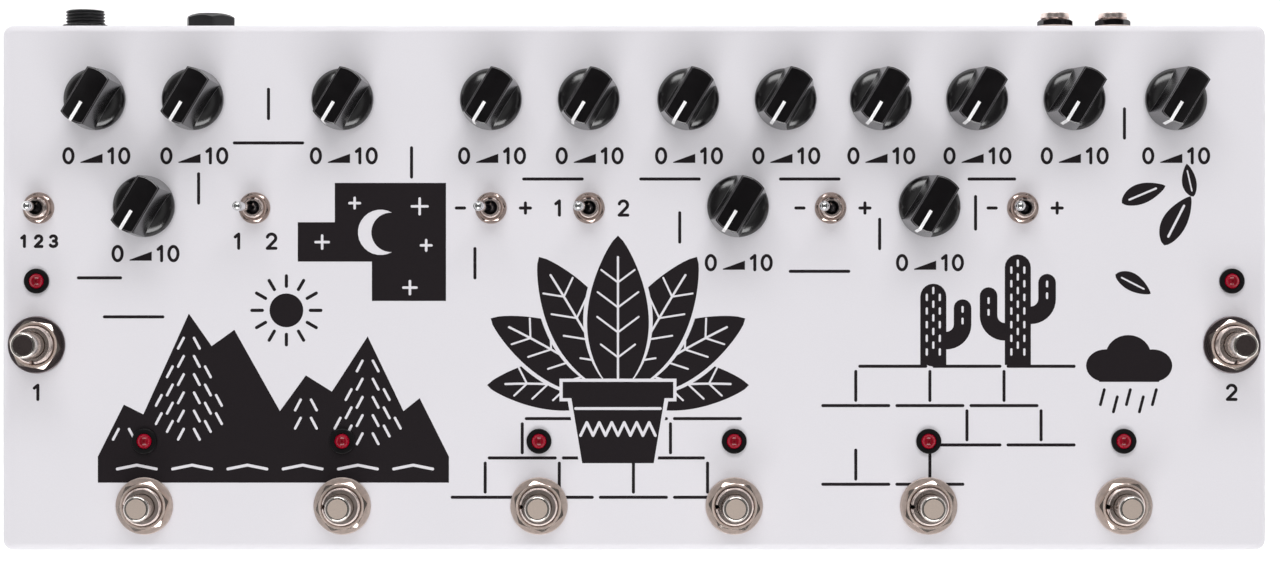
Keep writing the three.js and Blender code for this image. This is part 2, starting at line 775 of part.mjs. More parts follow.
ledPlaces.forEach(([x, y], index) => {
  addMesh(`led_${index + 1}`, ledGeometry(), darkRed, x, y, panelTop);
});

const audioX = enclosureLength * (audioJackLengthShares[0] + audioJackLengthShares[1]) / 2;
const auxX = enclosureLength * auxJackLengthShare;
const powerX = enclosureLength * powerJackLengthShare;
addMesh('audio_jacks', audioJacksGeometry(), nickel, audioX, rearWall, jackHeight);
addMesh('aux_jack', auxJackGeometry(), mattBlack, auxX, rearWall, jackHeight);
addMesh('power_jack', powerJackGeometry(), mattBlack, powerX, rearWall, jackHeight);

export default pedal;
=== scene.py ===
"""Looks of a long multi-effects pedal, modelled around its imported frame.

Lengths are in metres, written as millimetres times MM. The frame has +X to the right, +Y towards the
rear wall with the sockets, and +Z up. Every new piece is a surface worked out with numpy on a grid of
two parameters, and its place is in its mesh.
"""

from __future__ import annotations

import json
import logging
import math
from abc import ABC, abstractmethod
from dataclasses import dataclass, replace
from enum import Enum
from typing import Any, NamedTuple, Sequence

import bmesh
import bpy
import numpy as np
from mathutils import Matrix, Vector
from mathutils.geometry import delaunay_2d_cdt

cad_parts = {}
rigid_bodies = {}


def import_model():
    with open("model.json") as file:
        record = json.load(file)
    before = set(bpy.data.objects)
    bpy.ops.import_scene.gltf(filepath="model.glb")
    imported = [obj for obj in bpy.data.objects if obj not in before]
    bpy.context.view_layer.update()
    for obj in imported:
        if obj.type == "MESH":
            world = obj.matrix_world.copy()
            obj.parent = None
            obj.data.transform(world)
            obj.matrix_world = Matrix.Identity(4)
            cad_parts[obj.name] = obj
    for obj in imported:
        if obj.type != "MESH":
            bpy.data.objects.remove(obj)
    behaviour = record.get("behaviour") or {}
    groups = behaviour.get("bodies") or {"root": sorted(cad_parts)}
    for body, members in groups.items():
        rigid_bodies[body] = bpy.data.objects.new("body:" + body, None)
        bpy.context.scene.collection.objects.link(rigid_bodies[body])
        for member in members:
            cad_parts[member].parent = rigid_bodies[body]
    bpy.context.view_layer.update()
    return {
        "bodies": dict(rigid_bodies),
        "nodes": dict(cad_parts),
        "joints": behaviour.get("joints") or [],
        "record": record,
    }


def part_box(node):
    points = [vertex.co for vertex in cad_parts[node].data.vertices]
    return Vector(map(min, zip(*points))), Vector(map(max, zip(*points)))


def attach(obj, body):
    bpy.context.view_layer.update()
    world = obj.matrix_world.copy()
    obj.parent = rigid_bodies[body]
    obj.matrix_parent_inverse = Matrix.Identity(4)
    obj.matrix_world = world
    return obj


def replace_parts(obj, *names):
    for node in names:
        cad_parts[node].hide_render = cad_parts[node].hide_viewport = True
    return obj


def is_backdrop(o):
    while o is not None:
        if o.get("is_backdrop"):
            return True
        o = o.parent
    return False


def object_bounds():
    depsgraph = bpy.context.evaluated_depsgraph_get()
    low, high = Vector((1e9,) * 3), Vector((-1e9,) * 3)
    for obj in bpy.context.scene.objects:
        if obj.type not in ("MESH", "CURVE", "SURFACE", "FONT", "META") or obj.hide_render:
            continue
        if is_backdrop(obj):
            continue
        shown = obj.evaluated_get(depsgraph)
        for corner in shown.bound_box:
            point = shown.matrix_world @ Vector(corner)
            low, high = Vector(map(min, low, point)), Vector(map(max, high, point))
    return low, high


# A millimetre in the frame's metres, and a full turn
MM = 0.001
TURN = 2 * math.pi
# How thick the enclosure's walls are
WALL = 2.0 * MM
# The joints that tell where a knob and a toggle switch stand
KNOB_JOINT = "knob_{}_turn"
TOGGLE_JOINT = "toggle_{}_throw"
# How near two points count as one, in a mesh and in the print's millimetres
WELD = 0.002 * MM
PRINT_WELD = 0.001
# How many chords a full turn has
SMOOTH_SIDES = 96
HOLE_SIDES = 64
# The angles in degrees above which an edge stays sharp and a printed line is cut in two
CREASE = 30.0
THREAD_CREASE = 40.0
SHARP_BEND = 50.0

log = logging.getLogger("pedal")

Colour = tuple[float, float, float]
Size = tuple[float, float, float]
Hole = tuple[float, float, float]
Path2D = Sequence[Sequence[float]] | np.ndarray
Surface = tuple[np.ndarray, np.ndarray]
Piece = bpy.types.Object
Source = bpy.types.NodeSocket


class Facing(Enum):
    """The way the axis of a turned piece points."""

    UP = "up"
    REAR = "rear"


class Ink(Enum):
    """What a printed shape does to those below it: cover them with black, or lay them bare."""

    BLACK = "black"
    BARE = "bare"


class Look(NamedTuple):
    """A material, and the record's slot that it belongs to."""

    material: bpy.types.Material
    slot: str


@dataclass(frozen=True)
class Seat:
    """Where a piece stands: the point under its axis, its turn about the axis, its lean and facing."""

    x: float
    y: float
    z: float
    turn: float = 0.0
    lean: float = 0.0
    facing: Facing = Facing.UP

    def place(self, points: np.ndarray) -> np.ndarray:
        """Turn points about the axis, lean them about +Y, face them and move them to the seat.

        Args:
            points: Points about the origin with the axis along +Z, in an array that ends in three.

        Returns:
            The placed points, in an array of the same shape.
        """
        turn = math.radians(self.turn)
        x = points[..., 0] * math.cos(turn) - points[..., 1] * math.sin(turn)
        y = points[..., 0] * math.sin(turn) + points[..., 1] * math.cos(turn)
        z = points[..., 2]
        lean = math.radians(self.lean)
        x, z = x * math.cos(lean) + z * math.sin(lean), z * math.cos(lean) - x * math.sin(lean)
        if self.facing is Facing.REAR:
            y, z = z, -y
        return np.stack([x + self.x, y + self.y, z + self.z], axis=-1)


class Shell:
    """Collects grids and sheets of points and joins them into one mesh object."""

    def __init__(self) -> None:
        """Start with no points."""
        self._points: list[np.ndarray] = []
        self._faces: list[list[int]] = []
        self._uvs: list[np.ndarray] = []
        self._count = 0

    def grid(self, points: np.ndarray, uv: np.ndarray | None = None) -> "Shell":
        """Add a surface whose points form rows and columns.

        Args:
            points: An array of rows by columns by three.
            uv: The surface's own coordinates, rows by columns by two. Zero where it is left out.

        Returns:
            This shell.
        """
        rows, columns = points.shape[:2]
        index = np.arange(rows * columns).reshape(rows, columns) + self._count
        quads = np.stack([index[:-1, :-1], index[:-1, 1:], index[1:, 1:], index[1:, :-1]], axis=-1)
        self._store(points.reshape(-1, 3), quads.reshape(-1, 4), uv)
        return self

    def put(self, seat: Seat, surface: Surface) -> "Shell":
        """Add a surface at a seat."""
        points, uv = surface
        return self.grid(seat.place(points), uv)

    def block(self, seat: Seat, size: Size, edge: float, middle: Size) -> "Shell":
        """Add a block with rounded edges, its middle given from the seat."""
        return self.grid(seat.place(rounded_block(size, edge) + np.array(middle)))

    def faces(self, points: np.ndarray, faces: np.ndarray) -> "Shell":
        """Add loose points with their faces."""
        self._store(points, faces + self._count, None)
        return self

    def _store(self, points: np.ndarray, faces: np.ndarray, uv: np.ndarray | None) -> None:
        """Keep points, faces that already count from the first point, and coordinates."""
        self._points.append(points)
        self._faces.extend(faces.tolist())
        self._uvs.append(np.zeros((len(points), 2)) if uv is None else uv.reshape(-1, 2))
        self._count += len(points)

    def build(
        self, name: str, look: Look, body: str = "body", crease: float = CREASE, even: bool = False,
    ) -> Piece:
        """Weld what was collected and make it a piece that rides on a body.

        Args:
            name: The piece's name.
            look: Its finish and the record's slot.
            body: The body that it moves with.
            crease: The angle in degrees above which an edge stays sharp.
            even: Whether large flat faces rule the shading of their neighbours.

        Returns:
            The new object.
        """
        mesh = bpy.data.meshes.new(name)
        mesh.from_pydata(np.concatenate(self._points).tolist(), [], self._faces)
        layer = mesh.uv_layers.new(name="turned")
        corners = np.zeros(len(mesh.loops), dtype=np.int32)
        mesh.loops.foreach_get("vertex_index", corners)
        layer.data.foreach_set("uv", np.concatenate(self._uvs)[corners].ravel())
        work = bmesh.new()
        work.from_mesh(mesh)
        bmesh.ops.remove_doubles(work, verts=work.verts, dist=WELD)
        bmesh.ops.dissolve_degenerate(work, edges=work.edges, dist=WELD)
        bmesh.ops.recalc_face_normals(work, faces=work.faces)
        work.to_mesh(mesh)
        work.free()
        mesh.shade_smooth()
        mesh.set_sharp_from_angle(angle=math.radians(crease))
        mesh.materials.append(look.material)
        piece = bpy.data.objects.new(name, mesh)
        bpy.context.scene.collection.objects.link(piece)
        if even:
            weights = piece.modifiers.new("even_shading", "WEIGHTED_NORMAL")
            weights.keep_sharp = True
        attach(piece, body)
        return piece


def filleted(corners: Sequence[tuple[float, float, float]], steps: int = 5) -> np.ndarray:
    """Round the corners of a profile.

    An arc of radius r touches both sides of a corner at r over the tangent of half its angle, and its
    centre lies on the bisector at r over the sine of that half.

    Args:
        corners: Each corner as its distance from the axis, its height and its radius.
        steps: How many chords each arc has.

    Returns:
        The profile's points, two numbers each.
    """
    spots = np.array([corner[:2] for corner in corners])
    pieces = [spots[:1]]
    for before, spot, after, (_, _, radius) in zip(spots, spots[1:], spots[2:], corners[1:]):
        if radius == 0:
            pieces.append(spot[None, :])
            continue
        back = (before - spot) / np.linalg.norm(before - spot)
        ahead = (after - spot) / np.linalg.norm(after - spot)
        half = math.acos(float(np.clip(back @ ahead, -1, 1))) / 2
        bisector = (back + ahead) / np.linalg.norm(back + ahead)
        centre = spot + bisector * radius / math.sin(half)
        first = spot + back * radius / math.tan(half) - centre
        last = spot + ahead * radius / math.tan(half) - centre
        share = np.linspace(0, 1, steps + 1)[:, None]
        chord = first * (1 - share) + last * share
        pieces.append(centre + chord * radius / np.linalg.norm(chord, axis=1, keepdims=True))
    pieces.append(spots[-1:])
    return np.concatenate(pieces)


def polar(radius: np.ndarray, angle: np.ndarray, height: np.ndarray, way: np.ndarray) -> Surface:
    """Give a surface about +Z: a point at radius r, angle a and height h is (r cos a, r sin a, h).

    Args:
        radius: Distances from the axis, in an array that fits the others.
        angle: Angles from +X, in a column.
        height: Heights.
        way: How far each point lies along the surface.

    Returns:
        The points, and their own coordinates, which are the share of the turn and the way.
    """
    points = np.broadcast_arrays(radius * np.cos(angle), radius * np.sin(angle), height)
    return np.stack(points, axis=-1), np.stack(np.broadcast_arrays(angle / TURN, way), axis=-1)


def revolved(profile: np.ndarray, sides: int = SMOOTH_SIDES) -> Surface:
    """Turn a profile, whose points are a distance from the axis and a height, about +Z."""
    angle = np.linspace(0, TURN, sides + 1)[:, None]
    way = np.concatenate([[0], np.cumsum(np.linalg.norm(np.diff(profile, axis=0), axis=1))])
    return polar(profile[:, 0], angle, profile[:, 1], way)


def ring(
    inner: float, outer: float, low: float, high: float, rounds: tuple[float, float],
    bored: bool = False, sides: int = SMOOTH_SIDES,
) -> Surface:
    """Give a flat ring between two heights.

    Args:
        inner: Its bore's radius.
        outer: Its rim's radius.
        low: The height of its lower face.
        high: The height of its upper face.
        rounds: The radii of its lower and upper edges.
        bored: Whether it has a wall along its bore, which a bushing may hide.
        sides: How many chords the full turn has.

    Returns:
        The surface.
    """
    profile = [(inner, low, 0.0), (outer, low, rounds[0]), (outer, high, rounds[1]), (inner, high, 0.0)]
    if bored:
        profile.append(profile[0])
    return revolved(filleted(profile), sides)


@dataclass(frozen=True)
class Bushing:
    """A threaded bushing with a bevelled end, and a bore with a chamfered mouth."""

    radius: float
    pitch: float
    bevel: float
    bore: float
    lip: float
    depth_share: float = 0.55
    flank: float = 1.3
    crest: float = 0.15
    rows_per_pitch: int = 8
    keyway_half_width: float = 0.65 * MM
    keyway_depth: float = 1.1 * MM

    def surface(self, low: float, high: float, floor: float, notch: float | None = None) -> Surface:
        """Give its surface.

        The radius falls and rises by the thread's depth once for each pitch of height, with flat
        crests, and each crest climbs by a pitch over one turn. Near the end the bevel limits it.

        Args:
            low: The height where the bushing starts.
            high: The height of its end face.
            floor: The height of the bore's floor.
            notch: The angle in degrees of a keyway along the thread, or None.

        Returns:
            The surface.
        """
        angle = np.linspace(0, TURN, SMOOTH_SIDES + 1)[:, None]
        height = np.linspace(low, high, int((high - low) / self.pitch * self.rows_per_pitch) + 2)
        phase = (height / self.pitch - angle / TURN) % 1.0
        fall = np.clip(self.flank * np.abs(2 * phase - 1) - self.crest, 0, 1)
        across = self.radius - self.depth_share * self.pitch * fall
        across = np.minimum(across, self.radius - self.bevel + (high - height))
        if notch is not None:
            off = (angle - math.radians(notch) + math.pi) % TURN - math.pi
            keyway = np.abs(off) * self.radius < self.keyway_half_width
            across = np.where(keyway, np.minimum(across, self.radius - self.keyway_depth), across)
        mouth = self.bore + self.lip
        bored = [(mouth, high), (self.bore, high - self.lip), (self.bore, floor), (0.0, floor)]
        radius = np.concatenate([across, *[np.full_like(angle, spot[0]) for spot in bored]], axis=1)
        height = np.concatenate([height, [spot[1] for spot in bored]])
        return polar(radius, angle, height, height)


@dataclass(frozen=True)
class HexNut:
    """A hexagonal nut that is chamfered above, from the radius of its flat top outwards."""

    flats: float
    height: float
    bore: float
    flat_radius: float
    tilt: float = 30.0
    corner_share: float = 0.985
    lip: float = 0.25 * MM
    side_steps: int = 16

    def surface(self) -> Surface:
        """Give its surface, with its foot on height zero.

        The rim lies half the flats over the cosine of the angle from the nearest flat, with its corners
        taken off a little, and beyond the flat top's radius the top falls at the chamfer's tilt.
        """
        angle = np.linspace(0, TURN, 6 * self.side_steps + 1)[:, None]
        across = (angle + math.pi / 6) % (math.pi / 3) - math.pi / 6
        rim = np.minimum(self.flats / 2 / np.cos(across), self.flats / math.sqrt(3) * self.corner_share)
        start = np.minimum(np.full_like(rim, self.flat_radius), rim)
        fall = (rim - start) * math.tan(math.radians(self.tilt))
        bore, mouth = np.full_like(rim, self.bore), np.full_like(rim, self.bore + self.lip)
        foot, top = np.zeros_like(rim), np.full_like(rim, self.height)
        radius = np.concatenate([bore, bore, mouth, start, (start + rim) / 2, rim, rim, bore], axis=1)
        height = np.concatenate(
            [foot, top - self.lip, top, top, top - fall / 2, top - fall, foot, foot], axis=1,
        )
        return polar(radius, angle, height, radius)


@dataclass(frozen=True)
class Case:
    """The case of a control behind the wall: a rounded block, with three lugs in each of its rows."""

    size: Size
    edge: float = 0.5 * MM
    rows: tuple[int, ...] = ()
    lug: Size = (0.0, 0.0, 0.0)
    lug_edge: float = 0.0
    lug_pitch: float = 0.0
    lug_drop: float = 0.0

    def build(self, name: str, seat: Seat, look: Look) -> Piece:
        """Build the case with its lugs, whose middles lie under its far face."""
        far = -WALL - self.size[2]
        shell = Shell().block(seat, self.size, self.edge, (0.0, 0.0, far + self.size[2] / 2))
        for column in (-1, 0, 1):
            for row in self.rows:
                middle = (self.lug_pitch * column, self.lug_pitch * row, far - self.lug_drop)
                shell.block(seat, self.lug, self.lug_edge, middle)
        return shell.build(name, look)


def rounded_block(size: Sequence[float], radius: float, steps: int = 3) -> np.ndarray:
    """Give a box with rounded edges: a sphere's grid whose eight parts are pushed out to the corners.

    Args:
        size: The box's full size along X, Y and Z.
        radius: The radius of its edges.
        steps: How many chords each quarter turn has.

    Returns:
        The points about the box's centre, rows by columns by three.
    """
    quarter = np.linspace(0, math.pi / 2, steps + 1)
    rise = np.concatenate([quarter - math.pi / 2, quarter])
    rise_side = np.repeat([-1, 1], steps + 1)
    around = np.concatenate([quarter + turn * math.pi / 2 for turn in range(4)] + [[0.0]])
    side_x = np.concatenate([np.repeat([1, -1, -1, 1], steps + 1), [1]])
    side_y = np.concatenate([np.repeat([1, 1, -1, -1], steps + 1), [1]])
    rows = np.ones((len(rise), 1))
    x = radius * np.cos(rise)[:, None] * np.cos(around) + rows * side_x * (size[0] / 2 - radius)
    y = radius * np.cos(rise)[:, None] * np.sin(around) + rows * side_y * (size[1] / 2 - radius)
    z = (radius * np.sin(rise) + rise_side * (size[2] / 2 - radius))[:, None] * np.ones(len(around))
    return np.stack([x, y, z], axis=-1)


def rounded_rectangle(length: float, depth: float, radius: float, steps: int = 10) -> np.ndarray:
    """Give a rectangle's outline about the origin, with quarter circles at its corners.

    The outline runs anticlockwise from the rear left corner to the rear right one, so that only the
    straight rear side lies between its last point and its first.
    """
    quarter = np.linspace(0, math.pi / 2, steps + 1)
    corners = []
    for step, (side_x, side_y) in enumerate(((-1, 1), (-1, -1), (1, -1), (1, 1)), start=1):
        angle = quarter + step * math.pi / 2
        corners.append(np.stack([
            side_x * (length / 2 - radius) + radius * np.cos(angle),
            side_y * (depth / 2 - radius) + radius * np.sin(angle),
        ], axis=-1))
    return np.concatenate(corners)


def circle(x: float, y: float, radius: float) -> np.ndarray:
    """Give the points of a hole's circle in a plane."""
    angle = np.arange(HOLE_SIDES) * TURN / HOLE_SIDES
    return np.stack([x + radius * np.cos(angle), y + radius * np.sin(angle)], axis=-1)


def pierced_sheet(outline: np.ndarray, holes: Sequence[Hole]) -> tuple[np.ndarray, np.ndarray]:
    """Fill a convex outline with triangles and leave round holes open.

    Args:
        outline: The outline's points.
        holes: Each hole's centre and radius.

    Returns:
        The points and the triangles.
    """
    loops = [outline, *[circle(*hole) for hole in holes]]
    starts = np.cumsum([0, *[len(loop) for loop in loops]])
    edges = [
        np.stack([np.arange(len(loop)), np.roll(np.arange(len(loop)), -1)], axis=-1) + start
        for loop, start in zip(loops, starts)
    ]
    found = delaunay_2d_cdt(
        [Vector(point) for point in np.concatenate(loops).tolist()],
        np.concatenate(edges).tolist(), [], 0, 1e-9,
    )
    points = np.array([tuple(point) for point in found[0]])
    triangles = np.array(found[2])
    middles = points[triangles].mean(axis=1)
    keep = np.ones(len(triangles), dtype=bool)
    for x, y, radius in holes:
        keep &= np.hypot(middles[:, 0] - x, middles[:, 1] - y) > radius * math.cos(math.pi / HOLE_SIDES)
    return points, triangles[keep]


def closed(points: np.ndarray) -> np.ndarray:
    """Repeat the first point of a line after its last."""
    return np.concatenate([points, points[:1]])


def raised(points: np.ndarray, height: float) -> np.ndarray:
    """Give flat points a height."""
    return np.column_stack([points, np.full(len(points), height)])


def wall(points: np.ndarray, low: float, high: float) -> np.ndarray:
    """Give the wall that stands on a flat line between two heights."""
    return np.stack([raised(points, low), raised(points, high)])


def tunnel(hole: Hole, low: float, high: float) -> np.ndarray:
    """Give the wall of a round hole between two heights."""
    return wall(closed(circle(*hole)), low, high)


def standing(points: np.ndarray, place: float) -> np.ndarray:
    """Stand flat points up in a plane across Y: their second number becomes the height."""
    return np.stack([points[..., 0], points[..., 2] + place, points[..., 1]], axis=-1)


def screw_grid(reach_x: float, reach_y: float) -> list[tuple[float, float]]:
    """Give the six places of the base plate's screws: three along X, in front and behind."""
    return [(x, y) for x in (-reach_x, 0.0, reach_x) for y in (-reach_y, reach_y)]


def joined(tree: bpy.types.NodeTree, operation: str, first: Source, second: Source | float) -> Source:
    """Join a source with another one, or with a number, by a Math node's operation."""
    made = tree.nodes.new("ShaderNodeMath")
    made.operation = operation
    tree.links.new(first, made.inputs[0])
    if isinstance(second, bpy.types.NodeSocket):
        tree.links.new(second, made.inputs[1])
    else:
        made.inputs[1].default_value = second
    return made.outputs[0]


class Recipe:
    """Builds a material's nodes around one Principled shader."""

    def __init__(self, name: str, colour: Colour, roughness: float, metallic: float = 0.0) -> None:
        """Start a material with its plain values on the shader."""
        self.material = bpy.data.materials.new(name)
        self.material.use_nodes = True
        self.tree = self.material.node_tree
        self.tree.nodes.clear()
        self.shader = self.node("ShaderNodeBsdfPrincipled")
        output = self.node("ShaderNodeOutputMaterial")
        self.tree.links.new(self.shader.outputs["BSDF"], output.inputs["Surface"])
        self.colour = colour
        self.set("Base Color", (*colour, 1.0))
        self.set("Roughness", roughness)
        self.set("Metallic", metallic)

    def node(self, kind: str, **settings: Any) -> bpy.types.Node:
        """Add a node and set its properties."""
        made = self.tree.nodes.new(kind)
        for key, value in settings.items():
            setattr(made, key, value)
        return made

    def set(self, socket: str, value: Any) -> None:
        """Set a constant on the shader's own socket."""
        self.shader.inputs[socket].default_value = value

    def feed(self, socket: str, source: Source) -> None:
        """Link a source to the shader's socket."""
        self.tree.links.new(source, self.shader.inputs[socket])

    def mapped(self, source: Source, scale: Sequence[float]) -> Source:
        """Scale coordinates along each axis."""
        mapping = self.node("ShaderNodeMapping")
        mapping.inputs["Scale"].default_value = scale
        self.tree.links.new(source, mapping.inputs["Vector"])
        return mapping.outputs["Vector"]

    def millimetres(self, stretch: Size = (1.0, 1.0, 1.0)) -> Source:
        """Give the object coordinates in millimetres, stretched along each axis."""
        coordinates = self.node("ShaderNodeTexCoord").outputs["Object"]
        return self.mapped(coordinates, [axis / MM for axis in stretch])

    def around(self, turn_scale: float, way_scale: float) -> Source:
        """Give the piece's own coordinates: its turns and its millimetres of way, each scaled."""
        coordinates = self.node("ShaderNodeUVMap", uv_map="turned").outputs["UV"]
        return self.mapped(coordinates, (turn_scale, way_scale / MM, 1.0))

    def way(self) -> Source:
        """Give the piece's own way in millimetres, which runs along a turned profile from its start."""
        parts = self.node("ShaderNodeSeparateXYZ")
        self.tree.links.new(self.around(1.0, 1.0), parts.inputs["Vector"])
        return parts.outputs["Y"]

    def noise(self, vector: Source, scale: float, detail: float = 2.0, rough: float = 0.5) -> Source:
        """Give a noise of a scale per unit of the vector."""
        made = self.node("ShaderNodeTexNoise")
        for name, value in (("Scale", scale), ("Detail", detail), ("Roughness", rough)):
            made.inputs[name].default_value = value
        self.tree.links.new(vector, made.inputs["Vector"])
        return made.outputs["Fac"]

    def spread(
        self, source: Source, low: float, high: float, start: float = 0.3, end: float = 0.7,
    ) -> Source:
        """Map a source from start and end to low and high."""
        made = self.node("ShaderNodeMapRange")
        for name, value in zip(("From Min", "From Max", "To Min", "To Max"), (start, end, low, high)):
            made.inputs[name].default_value = value
        self.tree.links.new(source, made.inputs["Value"])
        return made.outputs["Result"]

    def tint(self, share: Source, first: Colour, second: Colour) -> None:
        """Mix the base colour from two colours by the share of the second."""
        made = self.node("ShaderNodeMix", data_type="RGBA")
        made.inputs[6].default_value = (*first, 1.0)
        made.inputs[7].default_value = (*second, 1.0)
        self.tree.links.new(share, made.inputs[0])
        self.feed("Base Color", made.outputs[2])

    def shade(self, source: Source, first: float, second: float) -> None:
        """Let a noise move the base colour between two multiples of the material's colour."""
        self.tint(self.spread(source, 0.0, 1.0), *(
            tuple(multiple * part for part in self.colour) for multiple in (first, second)
        ))

    def gloss(self, source: Source, low: float, high: float) -> None:
        """Let a noise move the roughness between two values."""
        self.feed("Roughness", self.spread(source, low, high))

    def bump(self, *heights: tuple[Source, float]) -> bpy.types.Material:
        """Lay one bump over another, each a source with its height in millimetres.

        Returns:
            The finished material.
        """
        below = None
        for source, height in heights:
            made = self.node("ShaderNodeBump")
            made.inputs["Distance"].default_value = height * MM
            self.tree.links.new(source, made.inputs["Height"])
            if below is not None:
                self.tree.links.new(below, made.inputs["Normal"])
            below = made.outputs["Normal"]
        self.feed("Normal", below)
        return self.material


class Finish(ABC):
    """What every finish shares: it makes its material and goes with a slot of the record."""

    @abstractmethod
    def material(self) -> bpy.types.Material:
        """Make the material."""

    def look(self, slot: str) -> Look:
        """Make the material and name the record's slot that it belongs to."""
        return Look(self.material(), slot)


@dataclass(frozen=True)
class PowderCoat(Finish):
    """Baked powder coat: a fine orange peel, and faint speckle in its colour and gloss."""

    colour: Colour = (0.80, 0.78, 0.822)
    roughness: float = 0.42
    peel_per_mm: float = 1.1
    peel_height: float = 0.006

    def material(self) -> bpy.types.Material:
        """Make the material."""
        recipe = Recipe("powder_coat", self.colour, self.roughness)
        place = recipe.millimetres()
        recipe.shade(recipe.noise(place, 2.6, 4.0, 0.6), 0.972, 1.0)
        recipe.gloss(recipe.noise(place, 0.035), self.roughness - 0.05, self.roughness + 0.05)
        return recipe.bump(
            (recipe.noise(place, self.peel_per_mm, 3.0, 0.55), self.peel_height),
            (recipe.noise(place, 6.0), self.peel_height / 4),
        )


@dataclass(frozen=True)
class PrintedInk(Finish):
    """Screen-printed ink, through which the coat's orange peel and grain still show."""

    colour: Colour = (0.0080, 0.0056, 0.0070)
    roughness: float = 0.5

    def material(self) -> bpy.types.Material:
        """Make the material."""
        recipe = Recipe("printed_ink", self.colour, self.roughness)
        recipe.set("Specular IOR Level", 0.2)
        place = recipe.millimetres()
        grain = recipe.noise(place, 4.5, 4.0, 0.65)
        recipe.shade(grain, 1.0, 2.4)
        recipe.gloss(grain, self.roughness - 0.06, self.roughness + 0.08)
        coat = PowderCoat()
        peel = recipe.noise(place, coat.peel_per_mm, 3.0, 0.55)
        return recipe.bump((peel, coat.peel_height), (grain, 0.003))


@dataclass(frozen=True)
class MouldedPlastic(Finish):
    """Moulded plastic: a faint flow pattern in its gloss, and a soft waviness or a fine grain.

    Where an edge highlight colour is given, the piece's own way counts from its moulded edges, which are
    painted paler as a highlight.
    """

    name: str
    colour: Colour
    roughness: float
    spread: float = 0.04
    wave_height: float = 0.004
    grain_height: float = 0.0
    shine: float = 0.5
    worn_colour: Colour | None = None
    worn_width: float = 0.09
    worn_flow: float = 0.02

    def material(self) -> bpy.types.Material:
        """Make the material."""
        recipe = Recipe(self.name, self.colour, self.roughness)
        recipe.set("Specular IOR Level", self.shine)
        place = recipe.millimetres()
        flow = recipe.noise(place, 0.22, 3.0)
        if self.worn_colour is None:
            paler = tuple(part * 1.25 + 0.002 for part in self.colour)
            recipe.tint(recipe.spread(flow, 0.0, 1.0), self.colour, paler)
        else:
            # Painted highlight: the moulded edges are lightened towards the highlight colour, together
            # with a little of the flow's random tone.
            edge = recipe.spread(recipe.way(), 1.0, 0.0, 0.0, self.worn_width)
            flow_and_edge_highlight = joined(recipe.tree, "MAXIMUM", recipe.spread(flow, 0.0, self.worn_flow), edge)
            recipe.tint(flow_and_edge_highlight, self.colour, self.worn_colour)
        fine = recipe.noise(place, 3.5, 3.0, 0.6)
        recipe.gloss(fine, self.roughness - self.spread, self.roughness + self.spread)
        return recipe.bump(
            (recipe.noise(place, 0.3, 1.0), self.wave_height),
            (recipe.noise(place, 9.0), self.grain_height),
        )


@dataclass(frozen=True)
class PlatedMetal(Finish):
    """Bright plating over turned metal: rings around the axis, small dents and uneven gloss.

    Where a start is given, the part that lies further along the profile, in millimetres, is polished.
    """

    name: str
    colour: Colour
    roughness: float
    ring_height: float = 0.0012
    rings_per_mm: float = 9.0
    polished_from: float | None = None
    polished_roughness: float = 0.12

    def material(self) -> bpy.types.Material:
        """Make the material."""
        recipe = Recipe(self.name, self.colour, self.roughness, metallic=1.0)
        place = recipe.millimetres()
        recipe.shade(recipe.noise(place, 0.8, 4.0, 0.6), 0.86, 1.0)
        rings = recipe.noise(recipe.around(3.0, self.rings_per_mm), 1.0, 2.0, 0.6)
        gloss = recipe.spread(rings, self.roughness * 0.75, self.roughness * 1.25)
        if self.polished_from is not None:
            start = self.polished_from
            least = recipe.spread(recipe.way(), 1.0, self.polished_roughness, start, start + 0.02)
            gloss = joined(recipe.tree, "MINIMUM", gloss, least)
        recipe.feed("Roughness", gloss)
        return recipe.bump((recipe.noise(place, 1.6), 0.004), (rings, self.ring_height))


@dataclass(frozen=True)
class BrushedFace(Finish):
    """A face lapped with fine marks in all directions, which spread the light widely."""

    name: str
    colour: Colour
    roughness: float

    def material(self) -> bpy.types.Material:
        """Make the material."""
        recipe = Recipe(self.name, self.colour, self.roughness, metallic=1.0)
        grain = recipe.noise(recipe.millimetres(), 3.2, 5.0, 0.75)
        recipe.shade(grain, 0.8, 1.0)
        recipe.gloss(grain, self.roughness - 0.1, self.roughness + 0.1)
        marks = recipe.noise(recipe.millimetres((1.0, 0.12, 1.0)), 9.0, 3.0, 0.7)
        return recipe.bump((grain, 0.004), (marks, 0.002))


@dataclass(frozen=True)
class TintedLens(Finish):
    """The coloured resin of an indicator, cloudy, dark in the middle and brighter towards its rim.

    The ways along the turned profile, in millimetres, say where the rim's painted glow ends and the
    middle's own colour begins.
    """

    colour: Colour = (0.15, 0.0006, 0.006)
    rim_colour: Colour = (0.42, 0.0015, 0.022)
    rim_way: float = 4.6
    middle_way: float = 7.0

    def material(self) -> bpy.types.Material:
        """Make the material."""
        recipe = Recipe("indicator_lens", self.colour, 0.2)
        # Painted light: the share of the rim's painted glow, one at the rim and none in the middle.
        depth = recipe.spread(recipe.way(), 1.0, 0.0, self.rim_way, self.middle_way)
        cloud = recipe.noise(recipe.millimetres(), 1.1, 3.0)
        share = joined(recipe.tree, "MULTIPLY", depth, recipe.spread(cloud, 0.75, 1.2))
        recipe.tint(share, self.colour, self.rim_colour)
        recipe.gloss(cloud, 0.05, 0.09)
        return recipe.bump((cloud, 0.002))


@dataclass(frozen=True)
class Rubber(Finish):
    """Moulded rubber: dull, with a pebbled skin and paler dusty patches."""

    colour: Colour = (0.012, 0.012, 0.013)

    def material(self) -> bpy.types.Material:
        """Make the material."""
        recipe = Recipe("foot_rubber", self.colour, 0.75)
        place = recipe.millimetres()
        dust = recipe.noise(place, 0.5, 4.0, 0.6)
        recipe.shade(dust, 1.0, 2.4)
        recipe.gloss(dust, 0.66, 0.86)
        return recipe.bump((recipe.noise(place, 2.4, 3.0, 0.6), 0.03))


